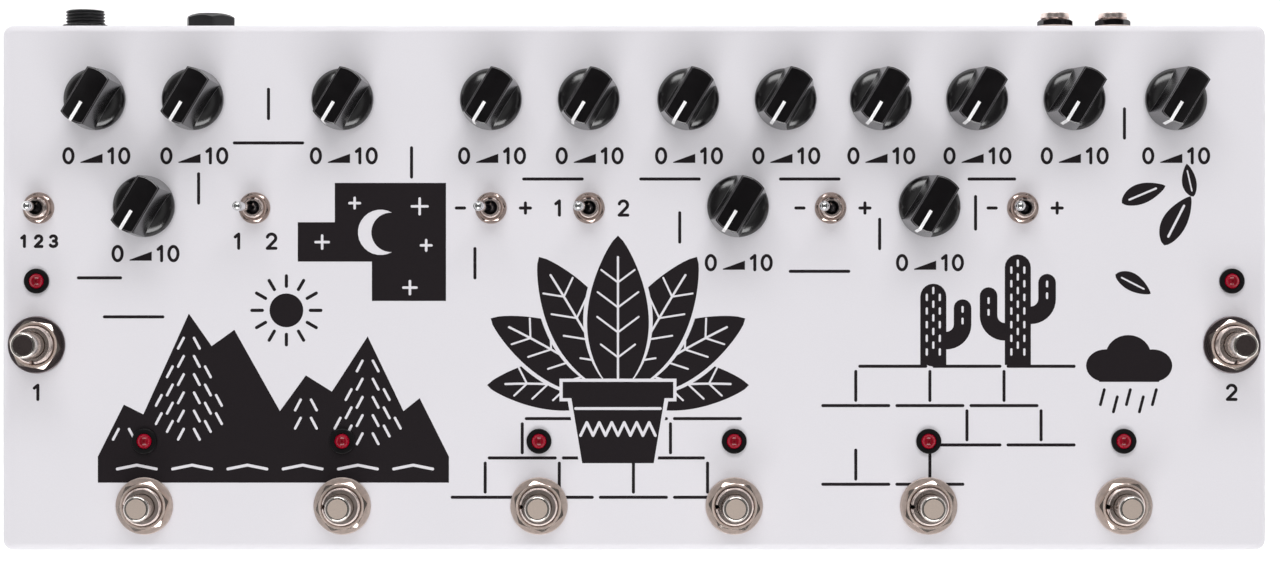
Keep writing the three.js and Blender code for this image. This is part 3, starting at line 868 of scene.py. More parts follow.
@dataclass(frozen=True)
class SheetMetal(Finish):
    """Rolled sheet: long fine marks along its length and a cloudy colour."""

    colour: Colour = (0.62, 0.63, 0.645)

    def material(self) -> bpy.types.Material:
        """Make the material."""
        recipe = Recipe("rolled_sheet", self.colour, 0.34, metallic=1.0)
        marks = recipe.noise(recipe.millimetres((0.02, 1.0, 1.0)), 5.0, 4.0, 0.65)
        recipe.shade(recipe.noise(recipe.millimetres(), 0.03, 3.0), 0.9, 1.0)
        recipe.gloss(marks, 0.26, 0.44)
        return recipe.bump((marks, 0.003))


@dataclass(frozen=True)
class SolderMask(Finish):
    """A circuit board's green mask, with a grid of paler tracks and the weave of its base."""

    colour: Colour = (0.01, 0.07, 0.03)

    def material(self) -> bpy.types.Material:
        """Make the material."""
        recipe = Recipe("solder_mask", self.colour, 0.35)
        place = recipe.millimetres()
        tracks = recipe.node("ShaderNodeTexBrick")
        tracks.inputs["Scale"].default_value = 0.35
        for name, multiple in (("Color1", 1.0), ("Color2", 1.3), ("Mortar", 2.2)):
            tracks.inputs[name].default_value = (*(part * multiple for part in self.colour), 1.0)
        recipe.tree.links.new(place, tracks.inputs["Vector"])
        recipe.feed("Base Color", tracks.outputs["Color"])
        weave = recipe.noise(place, 2.0)
        recipe.gloss(weave, 0.28, 0.42)
        return recipe.bump((weave, 0.01))


class Finishes:
    """One look for each finish of the pedal, made once and shared."""

    def __init__(self) -> None:
        """Make every finish."""
        self.coat = PowderCoat().look("white_coat")
        self.ink = PrintedInk().look("white_coat")
        # The knob's paler moulded edges are a painted highlight along its bevels and ends.
        self.knob = MouldedPlastic(
            "knob_gloss", (0.0026, 0.0019, 0.0025), 0.19, 0.03, wave_height=0.003, shine=0.9,
            worn_colour=(0.16, 0.15, 0.16),
        ).look("knob_black")
        self.pointer = MouldedPlastic("pointer_fill", (0.82, 0.81, 0.82), 0.4).look("knob_black")
        self.socket = MouldedPlastic(
            "socket_black", (0.012, 0.012, 0.013), 0.42, grain_height=0.006,
        ).look("socket_black")
        self.audio_case = Look(self.socket.material, "nickel")
        self.bezel = MouldedPlastic(
            "bezel_black", (0.004, 0.0036, 0.004), 0.35, grain_height=0.002, shine=0.3,
        ).look("led_red")
        self.case = MouldedPlastic(
            "switch_case", (0.02, 0.05, 0.16), 0.45, grain_height=0.006,
        ).look("nickel")
        # A dark lining for the toggles' bores, painted shade where the deep bore lies in shadow.
        self.bore = MouldedPlastic("bore_dark", (0.045, 0.038, 0.041), 0.45).look("nickel")
        self.nickel = PlatedMetal("nickel_plate", (0.97, 0.825, 0.77), 0.28).look("nickel")
        self.large_nut = PlatedMetal(
            "large_nut_plate", (0.84, 0.725, 0.66), 0.62, 0.001, polished_from=6.96,
        ).look("nickel")
        self.black_nut = PlatedMetal("black_nut_plate", (0.03, 0.028, 0.03), 0.3, 0.001).look("nickel")
        self.small_nut = PlatedMetal(
            "small_nut_plate", (0.64, 0.515, 0.467), 0.58, 0.001, polished_from=3.985,
        ).look("nickel")
        self.stem = PlatedMetal("stem_plate", (0.82, 0.76, 0.71), 0.14, 0.0008).look("button_steel")
        self.washer = PlatedMetal("washer_plate", (0.75, 0.645, 0.598), 0.66, 0.002).look("nickel")
        self.small_washer = PlatedMetal(
            "small_washer_plate", (0.58, 0.482, 0.452), 0.66, 0.002,
        ).look("nickel")
        self.dark_washer = PlatedMetal(
            "dark_washer_plate", (0.22, 0.182, 0.19), 0.3, 0.001,
        ).look("nickel")
        self.chrome = PlatedMetal("chrome_plate", (0.80, 0.80, 0.81), 0.05, 0.0).look("chrome")
        self.face = BrushedFace("lapped_face", (0.84, 0.72, 0.64), 0.64).look("button_steel")
        self.dark_face = BrushedFace("polished_face", (0.20, 0.16, 0.155), 0.34).look("button_steel")
        self.lens = TintedLens().look("led_red")
        self.rubber = Rubber().look("rubber")
        self.sheet = SheetMetal().look("base_sheet")
        self.mask = SolderMask().look("board")
        self.screw = PlatedMetal("screw_plate", (0.5, 0.5, 0.51), 0.25).look("base_sheet")


@dataclass(frozen=True)
class Layout:
    """Where the controls stand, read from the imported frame."""

    frame: dict[str, Any]

    def joint(self, name: str) -> dict[str, Any]:
        """Find a joint by its name."""
        return next(joint for joint in self.frame["joints"] if joint["name"] == name)

    def numbered(self, stem: str) -> list[int]:
        """Give the numbers of the nodes that share a stem, in order."""
        found = [name.rpartition("_") for name in self.frame["nodes"]]
        return sorted(int(number) for start, _, number in found if start == stem)

    def middle(self, node: str) -> tuple[float, float]:
        """Give the place of a node's middle in plan."""
        low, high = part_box(node)
        return (low.x + high.x) / 2, (low.y + high.y) / 2

    def spots(self, stem: str, joint: str | None = None) -> list[tuple[float, float]]:
        """Give where numbered nodes stand, from the panel's middle.

        Args:
            stem: What the nodes' names start with.
            joint: The name of each one's joint, which tells its place, with {} for the number. Where
                it is left out, the node's own middle counts.

        Returns:
            The places, in the order of the numbers.
        """
        origin = self.middle("enclosure")
        found = []
        for number in self.numbered(stem):
            place = self.middle(f"{stem}_{number}")
            if joint is not None:
                place = self.joint(joint.format(number))["pos_m"]
            found.append((place[0] - origin[0], place[1] - origin[1]))
        return found

    def bore(self, name: str) -> tuple[float, float]:
        """Give the place across X and the height of a socket's axis, from its opening."""
        openings = self.frame["record"]["physics"]["openings"]
        low, high = next(opening["box_m"] for opening in openings if opening["name"] == name)
        return (low[0] + high[0]) / 2, (low[2] + high[2]) / 2

    def power(self) -> tuple[float, float]:
        """Give the place of the power socket's axis, which is as high as the auxiliary jack's."""
        return self.middle("power_jack")[0], self.bore("aux_jack_bore")[1]

    @property
    def panel(self) -> float:
        """Give the height of the panel's top."""
        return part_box("enclosure")[1].z

    @property
    def rear(self) -> float:
        """Give the place of the rear wall's outer face along Y."""
        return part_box("enclosure")[1].y


@dataclass
class Enclosure:
    """The coated box: a rounded tray, open below, with a hole for every control and socket."""

    layout: Layout
    corner_radius: float = 3.2 * MM
    edge_radius: float = 2.2 * MM
    edge_steps: int = 10
    pot_hole: float = 4.2 * MM
    toggle_hole: float = 3.55 * MM
    switch_hole: float = 6.2 * MM
    led_hole: float = 3.5 * MM
    audio_hole: float = 5.0 * MM
    aux_hole: float = 6.3 * MM
    power_hole: float = 6.5 * MM
    post_radius: float = 4.0 * MM
    post_bite: float = 0.4 * MM
    post_bore: float = 1.4 * MM
    post_edge: float = 0.4 * MM

    def panel_holes(self) -> list[Hole]:
        """List the panel's holes as their centres and radii, about the enclosure's middle."""
        groups = (
            (self.layout.spots("knob", KNOB_JOINT), self.pot_hole),
            (self.layout.spots("toggle_body"), self.toggle_hole),
            (self.layout.spots("footswitch_body"), self.switch_hole),
            (self.layout.spots("led"), self.led_hole),
        )
        return [(x, y, radius) for spots, radius in groups for x, y in spots]

    def rear_holes(self) -> list[Hole]:
        """List the rear wall's holes as their centres across X and Z and their radii."""
        return [
            (*self.layout.bore("audio_jack_1_bore"), self.audio_hole),
            (*self.layout.bore("audio_jack_2_bore"), self.audio_hole),
            (*self.layout.bore("aux_jack_bore"), self.aux_hole),
            (*self.layout.power(), self.power_hole),
        ]

    def build(self, finishes: Finishes) -> list[Piece]:
        """Build the enclosure.

        The outer wall is an outline swept along a quarter round at the panel's edge. The panel and the
        rear wall are sheets with round holes, and each hole's wall joins the outer and inner sheets.

        Args:
            finishes: The shared looks.

        Returns:
            The pieces that were made.
        """
        low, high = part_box("enclosure")
        length, depth = high.x - low.x, high.y - low.y
        shift = np.array([0.0, (low.y + high.y) / 2, 0.0])
        inner_length, inner_depth = length - 2 * WALL, depth - 2 * WALL
        turn = np.linspace(0, math.pi / 2, self.edge_steps + 1)
        shoulder, underside = high.z - self.edge_radius, high.z - WALL
        rings = [
            closed(raised(rounded_rectangle(
                length - 2 * inset, depth - 2 * inset, self.corner_radius - inset,
            ), height))
            for inset, height in zip(
                self.edge_radius * (1 - np.cos(turn)), high.z - self.edge_radius * (1 - np.sin(turn)),
            )
        ]
        outer = rounded_rectangle(length, depth, self.corner_radius)
        inner = rounded_rectangle(inner_length, inner_depth, self.corner_radius - WALL)
        shell = Shell()
        shell.grid(np.stack(rings) + shift)
        shell.grid(wall(outer, low.z, shoulder) + shift)
        shell.grid(wall(inner, low.z, underside) + shift)
        shell.grid(np.stack([closed(raised(outer, low.z)), closed(raised(inner, low.z))]) + shift)
        holes = self.panel_holes()
        for outline, height in ((rings[-1][:-1, :2], high.z), (inner, underside)):
            points, triangles = pierced_sheet(outline, holes)
            shell.faces(raised(points, height) + shift, triangles)
        for hole in holes:
            shell.grid(tunnel(hole, underside, high.z) + shift)
        half = length / 2 - self.corner_radius
        rear_holes = self.rear_holes()
        for place, top in ((high.y, shoulder), (high.y - WALL, underside)):
            outline = np.array([[-half, low.z], [half, low.z], [half, top], [-half, top]])
            points, triangles = pierced_sheet(outline, rear_holes)
            shell.faces(standing(raised(points, 0.0), place), triangles)
        for hole in rear_holes:
            shell.grid(standing(tunnel(hole, -WALL, 0.0), high.y))
        box = shell.build("enclosure_shell", finishes.coat, even=True)
        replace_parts(box, "enclosure")
        return [box, self.posts(finishes, inner_length, inner_depth, float(shift[1]), underside)]

    def posts(
        self, finishes: Finishes, length: float, depth: float, middle_y: float, top: float,
    ) -> Piece:
        """Build the screw posts along the inside of the front and rear walls."""
        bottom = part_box("base_plate")[1].z
        inset = self.post_radius - self.post_bite
        profile = filleted([
            (self.post_bore, top, 0.0), (self.post_bore, bottom, 0.0),
            (self.post_radius, bottom, self.post_edge), (self.post_radius, top, 0.0),
        ])
        shell = Shell()
        for x, y in screw_grid(length / 2 - inset, depth / 2 - inset):
            shell.put(Seat(x, y + middle_y, 0.0), revolved(profile, HOLE_SIDES))
        return shell.build("screw_posts", finishes.coat)


@dataclass
class Underside:
    """The base plate with its screws, and the four feet."""

    layout: Layout
    corner_radius: float = 1.2 * MM
    screw_radius: float = 3.0 * MM
    screw_rise: float = 1.5 * MM
    screw_hole: float = 1.75 * MM
    screw_sides: int = 72
    screw_rows: int = 24
    cross_half_width: float = 0.42 * MM
    cross_half_length: float = 1.6 * MM
    cross_depth: float = 0.9 * MM
    shank_radius: float = 1.3 * MM
    shank_length: float = 6.0 * MM
    shank_point: float = 1.0 * MM
    post_inset: float = 3.3 * MM
    foot_taper: float = 1.0 * MM
    foot_top_edge: float = 0.3 * MM
    foot_edge: float = 0.9 * MM
    dish_edge: float = 0.4 * MM
    dish_radii: tuple[float, float] = (4.2 * MM, 3.4 * MM)
    dish_depth: float = 1.2 * MM

    def build(self, finishes: Finishes) -> list[Piece]:
        """Build the plate as two pierced sheets joined at their rims, its screws and its feet."""
        low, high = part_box("base_plate")
        half_depth, middle_y = (high.y - low.y) / 2, (low.y + high.y) / 2
        shift = np.array([0.0, middle_y, 0.0])
        outline = rounded_rectangle(high.x - low.x, high.y - low.y, self.corner_radius)
        spots = screw_grid(high.x - self.post_inset, half_depth - self.post_inset)
        holes = [(x, y, self.screw_hole) for x, y in spots]
        shell = Shell()
        points, triangles = pierced_sheet(outline, holes)
        for height in (low.z, high.z):
            shell.faces(raised(points, height) + shift, triangles)
        rims = [closed(outline), *[closed(circle(*hole)) for hole in holes]]
        for rim in rims:
            shell.grid(wall(rim, low.z, high.z) + shift)
        plate = shell.build("base_plate_sheet", finishes.sheet, even=True)
        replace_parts(plate, "base_plate")
        screws = Shell()
        for x, y in spots:
            self.screw(screws, Seat(x, y + middle_y, 0.0), low.z, high.z)
        pieces = [plate, screws.build("base_plate_screws", finishes.screw)]
        for corner in ("front_left", "front_right", "rear_left", "rear_right"):
            pieces.append(self.foot(f"foot_{corner}", finishes))
        return pieces

    def screw(self, shell: Shell, seat: Seat, low: float, high: float) -> None:
        """Add a pan-head screw: a dome under the plate, sunk by a cross-shaped recess, and its shank.

        The head is part of an ellipsoid and keeps half its depth at the rim. The recess takes a fixed
        depth off wherever the point lies within the cross's arms.
        """
        angle = np.linspace(0, TURN, self.screw_sides + 1)[:, None]
        radius = np.linspace(0, self.screw_radius, self.screw_rows + 1)
        across, up = np.abs(radius * np.cos(angle)), np.abs(radius * np.sin(angle))
        dome = self.screw_rise * np.sqrt(1 - 0.75 * (radius / self.screw_radius) ** 2)
        arms = (np.minimum(across, up) < self.cross_half_width) & (
            np.maximum(across, up) < self.cross_half_length
        )
        head, _ = polar(radius, angle, low - dome + np.where(arms, self.cross_depth, 0.0), radius)
        shell.grid(seat.place(head))
        tip = high + self.shank_length
        shank = np.array([
            (self.screw_radius, low - dome[-1]), (self.screw_radius, low), (self.shank_radius, low),
            (self.shank_radius, tip), (0.0, tip + self.shank_point),
        ])
        shell.put(seat, revolved(shank, self.screw_sides))

    def foot(self, node: str, finishes: Finishes) -> Piece:
        """Build a rubber foot: a tapered disc with rounded edges and a shallow dished underside."""
        low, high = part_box(node)
        top_radius = (high.x - low.x) / 2
        rim, floor = self.dish_radii
        dish = low.z + self.dish_depth
        profile = filleted([
            (0.0, high.z, 0.0), (top_radius, high.z, self.foot_top_edge),
            (top_radius - self.foot_taper, low.z, self.foot_edge), (rim, low.z, self.dish_edge),
            (floor, dish, self.dish_edge), (0.0, dish, 0.0),
        ])
        shell = Shell().put(Seat(*self.layout.middle(node), 0.0), revolved(profile))
        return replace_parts(shell.build(f"{node}_rubber", finishes.rubber), node)


@dataclass
class Knob:
    """A moulded bar-grip knob: a tapered body cut away on both sides down to a domed shoulder."""

    layout: Layout
    base_radius: float = 9.5 * MM
    top_radius: float = 8.8 * MM
    height: float = 15.75 * MM
    rim_height: float = 0.8 * MM
    shoulder_height: float = 4.0 * MM
    bevel: float = 0.36 * MM
    bevel_drop: float = 0.2 * MM
    bevel_round: float = 0.08 * MM
    bevel_reach: float = 1.08 * MM
    wall_steps: int = 12
    dome_steps: int = 24
    grip_half_width: float = 3.9 * MM
    grip_draft: float = 5.2
    side_points: int = 24
    end_points: int = 20
    pointer_half_width: float = 0.5 * MM
    pointer_start: float = 2.2 * MM
    pointer_drop_share: float = 0.62
    pointer_lift: float = 0.03 * MM
    pointer_tilts: tuple[float, ...] = (0.0, 14.0, 58.0, 88.0)
    recess_radius: float = 6.7 * MM
    recess_depth: float = 3.0 * MM
    shaft_radius: float = 3.0 * MM
    shaft_depth: float = 6.8 * MM
    skirt_sides: int = 128
    small_edge: float = 0.2 * MM
    large_edge: float = 0.3 * MM
    rest_turn: float = -31.0
    crease: float = 24.0

    @property
    def edge(self) -> float:
        """Give the height of the bevel's lower edge."""
        return self.height - self.bevel_drop

    @property
    def taper(self) -> float:
        """Give how much the body widens over each unit of depth below the bevel."""
        return (self.base_radius - self.top_radius) / (self.edge - self.rim_height)

    def quarter(self, height: np.ndarray, inset: float) -> np.ndarray:
        """Give a quarter of the grip's outline: its straight side and its rounded end.

        The side lies half the grip's width from the middle, plus the draft times the depth below the
        top, and runs to the tapered body's circle. The end follows that circle to the middle. An inset
        moves both inwards.

        Args:
            height: Heights, in rows for levels and columns for the outline's points.
            inset: How far the outline is moved inwards.

        Returns:
            The points, rows by columns by three.
        """
        depth = np.maximum(self.edge - height, 0)
        half = self.grip_half_width + math.tan(math.radians(self.grip_draft)) * depth - inset
        radius = self.top_radius + self.taper * depth - inset
        corner = np.sqrt(radius**2 - half**2)
        corner_angle = np.arctan2(corner, half)
        share = np.concatenate([
            np.linspace(0, 1, self.side_points), np.linspace(0, 1, self.end_points + 1)[1:],
        ])
        at_side = np.arange(len(share)) < self.side_points
        angle = corner_angle + (math.pi / 2 - corner_angle) * share
        x = np.where(at_side, half, radius * np.cos(angle))
        y = np.where(at_side, corner * share, radius * np.sin(angle))
        return np.stack(np.broadcast_arrays(x, y, height), axis=-1)

    def dome(self, points: np.ndarray) -> np.ndarray:
        """Give the shoulder's height: the rim plus a quarter ellipse over the base's radius."""
        inside = np.clip(1 - (np.hypot(points[..., 0], points[..., 1]) / self.base_radius) ** 2, 0, 1)
        return self.rim_height + (self.shoulder_height - self.rim_height) * np.sqrt(inside)

    def feet(self) -> np.ndarray:
        """Give the height at which the grip's wall meets the shoulder or the rim, for each point.

        The height where the wall's own outline is as high as the shoulder is found by halving.
        """
        low = np.full((1, self.side_points + self.end_points), self.rim_height)
        high = np.full_like(low, self.shoulder_height)
        for _ in range(40):
            middle = (low + high) / 2
            above = middle > self.dome(self.quarter(middle, 0.0))
            high = np.where(above, middle, high)
            low = np.where(above, low, middle)
        high[:, self.side_points - 1:] = self.rim_height
        return high

    def surfaces(self) -> list[Surface]:
        """Give a quarter's top, bevel and walls, and its shoulder, as grids.

        The bevel's two edges are rounded a little. The profile reaches past them for that, and its own
        two ends are left out. The shoulder's points run straight in plan from the foot of the wall to
        the rim and take the dome's height. Beside its place, each point has its distance from the
        nearest edge: along the bevel's profile, down the wall, out from the wall's foot, and for the
        top's middle line the way to its side or to its end.

        Returns:
            For each grid its points, and the distances as the way of its own coordinates.
        """
        bevel = filleted([
            (self.bevel_reach, self.height, 0.0), (self.bevel, self.height, self.bevel_round),
            (self.bevel / 2, self.height - self.bevel_drop / 2, 0.0),
            (0.0, self.edge, self.bevel_round), (0.0, self.height - self.bevel_reach, 0.0),
        ], steps=3)[1:-1]
        edges = np.array([(self.bevel, self.height), (0.0, self.edge)])
        beside = np.linalg.norm(bevel[:, None] - edges, axis=-1).min(axis=1)
        columns = np.ones((1, self.side_points + self.end_points))
        rounded = np.concatenate([self.quarter(level * columns, inset) for inset, level in bevel])
        middle = rounded[:1] * np.array([0.0, 1.0, 1.0])
        share = np.linspace(0, 1, self.wall_steps + 1)[1:, None]
        level = bevel[-1, 1] * (1 - share) + self.feet() * share
        walls = self.quarter(level, 0.0)
        foot = walls[-1, :self.side_points]
        end = math.atan2(foot[-1, 1], foot[-1, 0])
        angle = end * foot[:, 1] / foot[-1, 1]
        rim = self.base_radius * np.stack([np.cos(angle), np.sin(angle)], axis=-1)
        spread = np.sin(np.linspace(0, math.pi / 2, self.dome_steps + 1))[:, None, None]
        plan = foot[:, :2] * (1 - spread) + rim * spread
        rise = self.dome(plan)
        rise[0] = foot[:, 2]
        shoulder = np.concatenate([plan, rise[..., None]], axis=-1)
        top = np.minimum(self.grip_half_width, self.top_radius - middle[..., 1]) - self.bevel
        # These distances from the edges place the knob finish's painted highlight lines.
        ways = np.concatenate([top, beside[:, None] * columns, self.edge - level])
        outwards = np.linalg.norm(plan - plan[:1], axis=-1)
        return [
            (points, np.stack([np.zeros_like(way), way], axis=-1))
            for points, way in ((np.concatenate([middle, rounded, walls]), ways), (shoulder, outwards))
        ]

    def skirt(self) -> Surface:
        """Give the rim, the underside with its recess, and the shaft."""
        return revolved(filleted([
            (self.base_radius, self.rim_height, 0.0), (self.base_radius, 0.0, self.small_edge),
            (self.recess_radius, 0.0, self.small_edge),
            (self.recess_radius, self.recess_depth, self.large_edge),
            (self.shaft_radius, self.recess_depth, self.small_edge),
            (self.shaft_radius, -self.shaft_depth, self.large_edge), (0.0, -self.shaft_depth, 0.0),
        ]), self.skirt_sides)

    def pointer(self) -> np.ndarray:
        """Give the pointer line: a flat band along the top, round its edge and down the body's end.

        The band's faces lie a lift to both sides of the body's surface, along the tilted normals.
        """
        drop = self.height * self.pointer_drop_share
        along = np.array([
            self.pointer_start, self.top_radius - self.bevel, self.top_radius,
            self.top_radius + self.taper * drop,
        ])
        level = np.array([self.height, self.height, self.edge, self.edge - drop])
        tilt = np.radians(self.pointer_tilts)
        columns = []
        for side, face in ((-1, -1), (-1, 1), (1, 1), (1, -1), (-1, -1)):
            lift = face * self.pointer_lift
            columns.append(np.stack([
                np.full_like(tilt, side * self.pointer_half_width), -(along + lift * np.sin(tilt)),
                level + lift * np.cos(tilt),
            ], axis=-1))
        return np.stack(columns, axis=1)

    def build(self, number: int, finishes: Finishes) -> list[Piece]:
        """Build a numbered knob from four mirrored quarters, its skirt and shaft, and its pointer."""
        body = f"knob_{number}"
        x, y, _ = self.layout.joint(KNOB_JOINT.format(number))["pos_m"]
        seat = Seat(x, y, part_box(body)[1].z - self.height, turn=self.rest_turn)
        shell = Shell()
        for side_x in (-1, 1):
            for side_y in (-1, 1):
                for points, ways in self.surfaces():
                    shell.put(seat, (points * np.array([side_x, side_y, 1]), ways))
        shell.put(seat, self.skirt())
        knob = shell.build(f"knob_{number}_moulding", finishes.knob, body, self.crease)
        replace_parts(knob, body)
        band = seat.place(self.pointer())
        line = Shell().grid(band)
        line.faces(band[-1, :4], np.array([[0, 1, 2, 3]]))
        line.faces(band[0, :4], np.array([[3, 2, 1, 0]]))
        return [knob, line.build(f"knob_{number}_pointer", finishes.pointer, body)]


@dataclass(frozen=True)
class Mounting:
    """What holds a switch in the panel: a washer, the nut on it, and a threaded bushing."""

    washer_radius: float
    washer_height: float
    washer_rounds: tuple[float, float]
    nut: HexNut
    bushing: Bushing

    def build(
        self, kind: str, number: int, seat: Seat, nut_turn: float, floor: float, notch: float,
        looks: tuple[Look, Look, Look],
    ) -> list[Piece]:
        """Build the three pieces. The washer replaces the node, and the bushing is as high as the node.

        Args:
            kind: What the switch is called in the names.
            number: Its number, from one.
            seat: Its axis on the panel.
            nut_turn: The nut's turn in degrees.
            floor: The height of the bore's floor over the panel.
            notch: The angle in degrees of the bushing's keyway.
            looks: The looks of washer, nut and bushing.

        Returns:
            The pieces that were made.
        """
        node = f"{kind}_body_{number}"
        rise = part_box(node)[1].z - seat.z
        height = self.washer_height
        flat = ring(self.bushing.radius, self.washer_radius, 0.0, height, self.washer_rounds)
        washer = Shell().put(seat, flat).build(f"{kind}_washer_{number}", looks[0])
        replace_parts(washer, node)
        nut_seat = replace(seat, z=seat.z + height, turn=nut_turn)
        nut = Shell().put(nut_seat, self.nut.surface()).build(f"{kind}_nut_{number}", looks[1])
        thread = self.bushing.surface(-WALL, rise, floor, notch)
        bushing = Shell().put(seat, thread).build(
            f"{kind}_bushing_{number}", looks[2], crease=THREAD_CREASE,
        )
        return [washer, nut, bushing]


@dataclass
class Footswitch:
    """A stomp switch: washer, chamfered nut, threaded bushing and button above, case and lugs below."""

    layout: Layout
    mounting: Mounting = Mounting(
        washer_radius=8.8 * MM, washer_height=1.0 * MM, washer_rounds=(0.15 * MM, 0.3 * MM),
        nut=HexNut(flats=14.0 * MM, height=2.8 * MM, bore=6.1 * MM, flat_radius=6.95 * MM),
        bushing=Bushing(radius=5.8 * MM, pitch=0.75 * MM, bevel=0.5 * MM, bore=4.1 * MM, lip=0.12 * MM),
    )
    bore_floor: float = -12.0 * MM
    case: Case = Case(
        size=(15.0 * MM, 15.0 * MM, 16.0 * MM), edge=0.6 * MM, rows=(-1, 0, 1),
        lug=(0.8 * MM, 2.2 * MM, 5.0 * MM), lug_edge=0.15 * MM, lug_pitch=4.6 * MM, lug_drop=2.0 * MM,
    )
    button_radius: float = 3.95 * MM
    button_edge: float = 0.8 * MM
    face_inset: float = 0.2 * MM
    face_drop: float = 0.06 * MM
    stem_edge: float = 0.2 * MM
    lip_width: float = 0.12 * MM
    disc_overlap: float = 0.06 * MM
    disc_drops: Size = (0.05 * MM, 0.015 * MM, 0.01 * MM)
    nut_turns: tuple[float, ...] = (21.0, 42.0, 37.0, 10.0, 24.0, 53.0, 29.0, 10.0)
    front_notch: float = 180.0
    side_notch: float = 270.0

    def build(self, number: int, finishes: Finishes) -> list[Piece]:
        """Build a numbered footswitch. The first and the last stand at the sides and are darker."""
        at_side = number in (1, len(self.nut_turns))
        x, y = self.layout.middle(f"footswitch_body_{number}")
        seat = Seat(x, y, self.layout.panel)
        mounted = self.mounting.build(
            "footswitch", number, seat, self.nut_turns[number - 1], self.bore_floor,
            self.side_notch if at_side else self.front_notch,
            (finishes.dark_washer if at_side else finishes.washer, finishes.large_nut, finishes.nickel),
        )
        case = self.case.build(f"footswitch_case_{number}", seat, finishes.case)
        face = finishes.dark_face if at_side else finishes.face
        return [*mounted, case, *self.button(number, seat, finishes.stem, face)]

    def button(self, number: int, seat: Seat, stem_look: Look, face_look: Look) -> list[Piece]:
        """Build the button's bright stem with its rounded edge, and its lapped top face."""
        body = f"footswitch_button_{number}"
        low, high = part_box(body)
        top, bottom = high.z - seat.z, low.z - seat.z
        flat_radius = self.button_radius - self.button_edge
        face_radius, sunk = flat_radius - self.face_inset, top - self.face_drop
        stem = Shell().put(seat, revolved(filleted([
            (0.0, bottom, 0.0), (self.button_radius, bottom, self.stem_edge),
            (self.button_radius, top, self.button_edge), (flat_radius - self.lip_width, top, 0.0),
            (face_radius, sunk, 0.0), (0.0, sunk, 0.0),
        ], steps=8))).build(f"footswitch_stem_{number}", stem_look, body)
        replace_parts(stem, body)
        under, rim, middle = [top - drop for drop in self.disc_drops]
        face = Shell().put(seat, revolved(np.array([
            (0.0, under), (face_radius, under), (face_radius + self.disc_overlap, rim), (0.0, middle),
        ]))).build(f"footswitch_face_{number}", face_look, body)
        return [stem, face]


@dataclass
class Toggle:
    """A miniature toggle switch: washer, nut, threaded bushing and bat lever, with its case below."""

    layout: Layout
    mounting: Mounting = Mounting(
        washer_radius=4.85 * MM, washer_height=0.6 * MM, washer_rounds=(0.1 * MM, 0.2 * MM),
        nut=HexNut(flats=8.0 * MM, height=1.9 * MM, bore=3.21 * MM, flat_radius=3.98 * MM),
        bushing=Bushing(
            radius=3.15 * MM, pitch=0.635 * MM, bevel=0.35 * MM, bore=2.25 * MM, lip=0.35 * MM,
        ),
    )
    case: Case = Case(
        size=(12.7 * MM, 7.6 * MM, 8.4 * MM), edge=0.4 * MM, rows=(0,),
        lug=(1.2 * MM, 0.8 * MM, 1.6 * MM), lug_edge=0.12 * MM, lug_pitch=4.7 * MM, lug_drop=0.5 * MM,
    )
    bore_depth: float = 6.2 * MM
    well_top: float = 0.7 * MM
    well_wall: float = 0.1 * MM
    well_gap: float = 0.05 * MM
    well_floor: float = 0.1 * MM
    lever_length: float = 15.5 * MM
    tip_radius: float = 1.5 * MM
    neck_radius: float = 0.9 * MM
    ball_radius: float = 1.65 * MM
    tail_radius: float = 0.75 * MM
    tail_length: float = 2.3 * MM
    lever_sides: int = 48
    lever_crease: float = 45.0
    notch: float = 90.0
    nut_turns: tuple[float, ...] = (8.0, 19.0, 33.0, 12.0, 26.0, 41.0)

    def build(self, number: int, finishes: Finishes) -> list[Piece]:
        """Build a numbered toggle switch, with its lever as the joint's rest has it."""
        joint = self.layout.joint(TOGGLE_JOINT.format(number))
        x, y, pivot = joint["pos_m"]
        seat = Seat(x, y, self.layout.panel)
        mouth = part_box(f"toggle_body_{number}")[1].z - seat.z
        mounted = self.mounting.build(
            "toggle", number, seat, self.nut_turns[number - 1], mouth - self.bore_depth, self.notch,
            (finishes.small_washer, finishes.small_nut, finishes.nickel),
        )
        # The well is a dark cup that lines the bushing's bore: painted shade for the shadow deep in the
        # bore.
        top, ground = mouth - self.well_top, mouth - self.bore_depth + self.well_floor
        outer = self.mounting.bushing.bore - self.well_gap
        inner, floor = outer - self.well_wall, ground + self.well_floor
        well = Shell().put(seat, revolved(np.array([
            (outer, top), (outer, ground), (0.0, ground), (0.0, floor), (inner, floor), (inner, top),
            (outer, top),
        ]))).build(f"toggle_shade_well_{number}", finishes.bore)
        case = self.case.build(f"toggle_case_{number}", seat, finishes.case)
        lever_seat = Seat(x, y, pivot, lean=-sum(joint["range_deg"]) / 2)
        return [*mounted, well, case, self.lever(number, lever_seat, finishes)]

    def lever(self, number: int, seat: Seat, finishes: Finishes) -> Piece:
        """Build the bat lever: tail, ball, a slim neck and a bat that swells to a round tip."""
        body = f"toggle_lever_{number}"
        start = math.acos(self.tail_radius / self.ball_radius)
        stop = math.acos(self.neck_radius / self.ball_radius)
        turn = np.linspace(-start, stop, 12)
        ball = self.ball_radius * np.stack([np.cos(turn), np.sin(turn)], axis=-1)
        share = np.linspace(0.1, 1, 10)
        swell = share * share * (3 - 2 * share)
        neck_end, tip_start = ball[-1, 1], self.lever_length - self.tip_radius
        bat = np.stack([
            self.neck_radius + (self.tip_radius - self.neck_radius) * swell,
            neck_end + (tip_start - neck_end) * share,
        ], axis=-1)
        turn = np.linspace(0, math.pi / 2, 10)[1:]
        tip = self.tip_radius * np.stack([np.cos(turn), np.sin(turn)], axis=-1) + (0.0, tip_start)
        tail = np.array([(0.0, -self.tail_length), (self.tail_radius, -self.tail_length)])
        form = revolved(np.concatenate([tail, ball, bat, tip]), self.lever_sides)
        piece = Shell().put(seat, form).build(
            f"toggle_bat_{number}", finishes.chrome, body, self.lever_crease,
        )
        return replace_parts(piece, body)


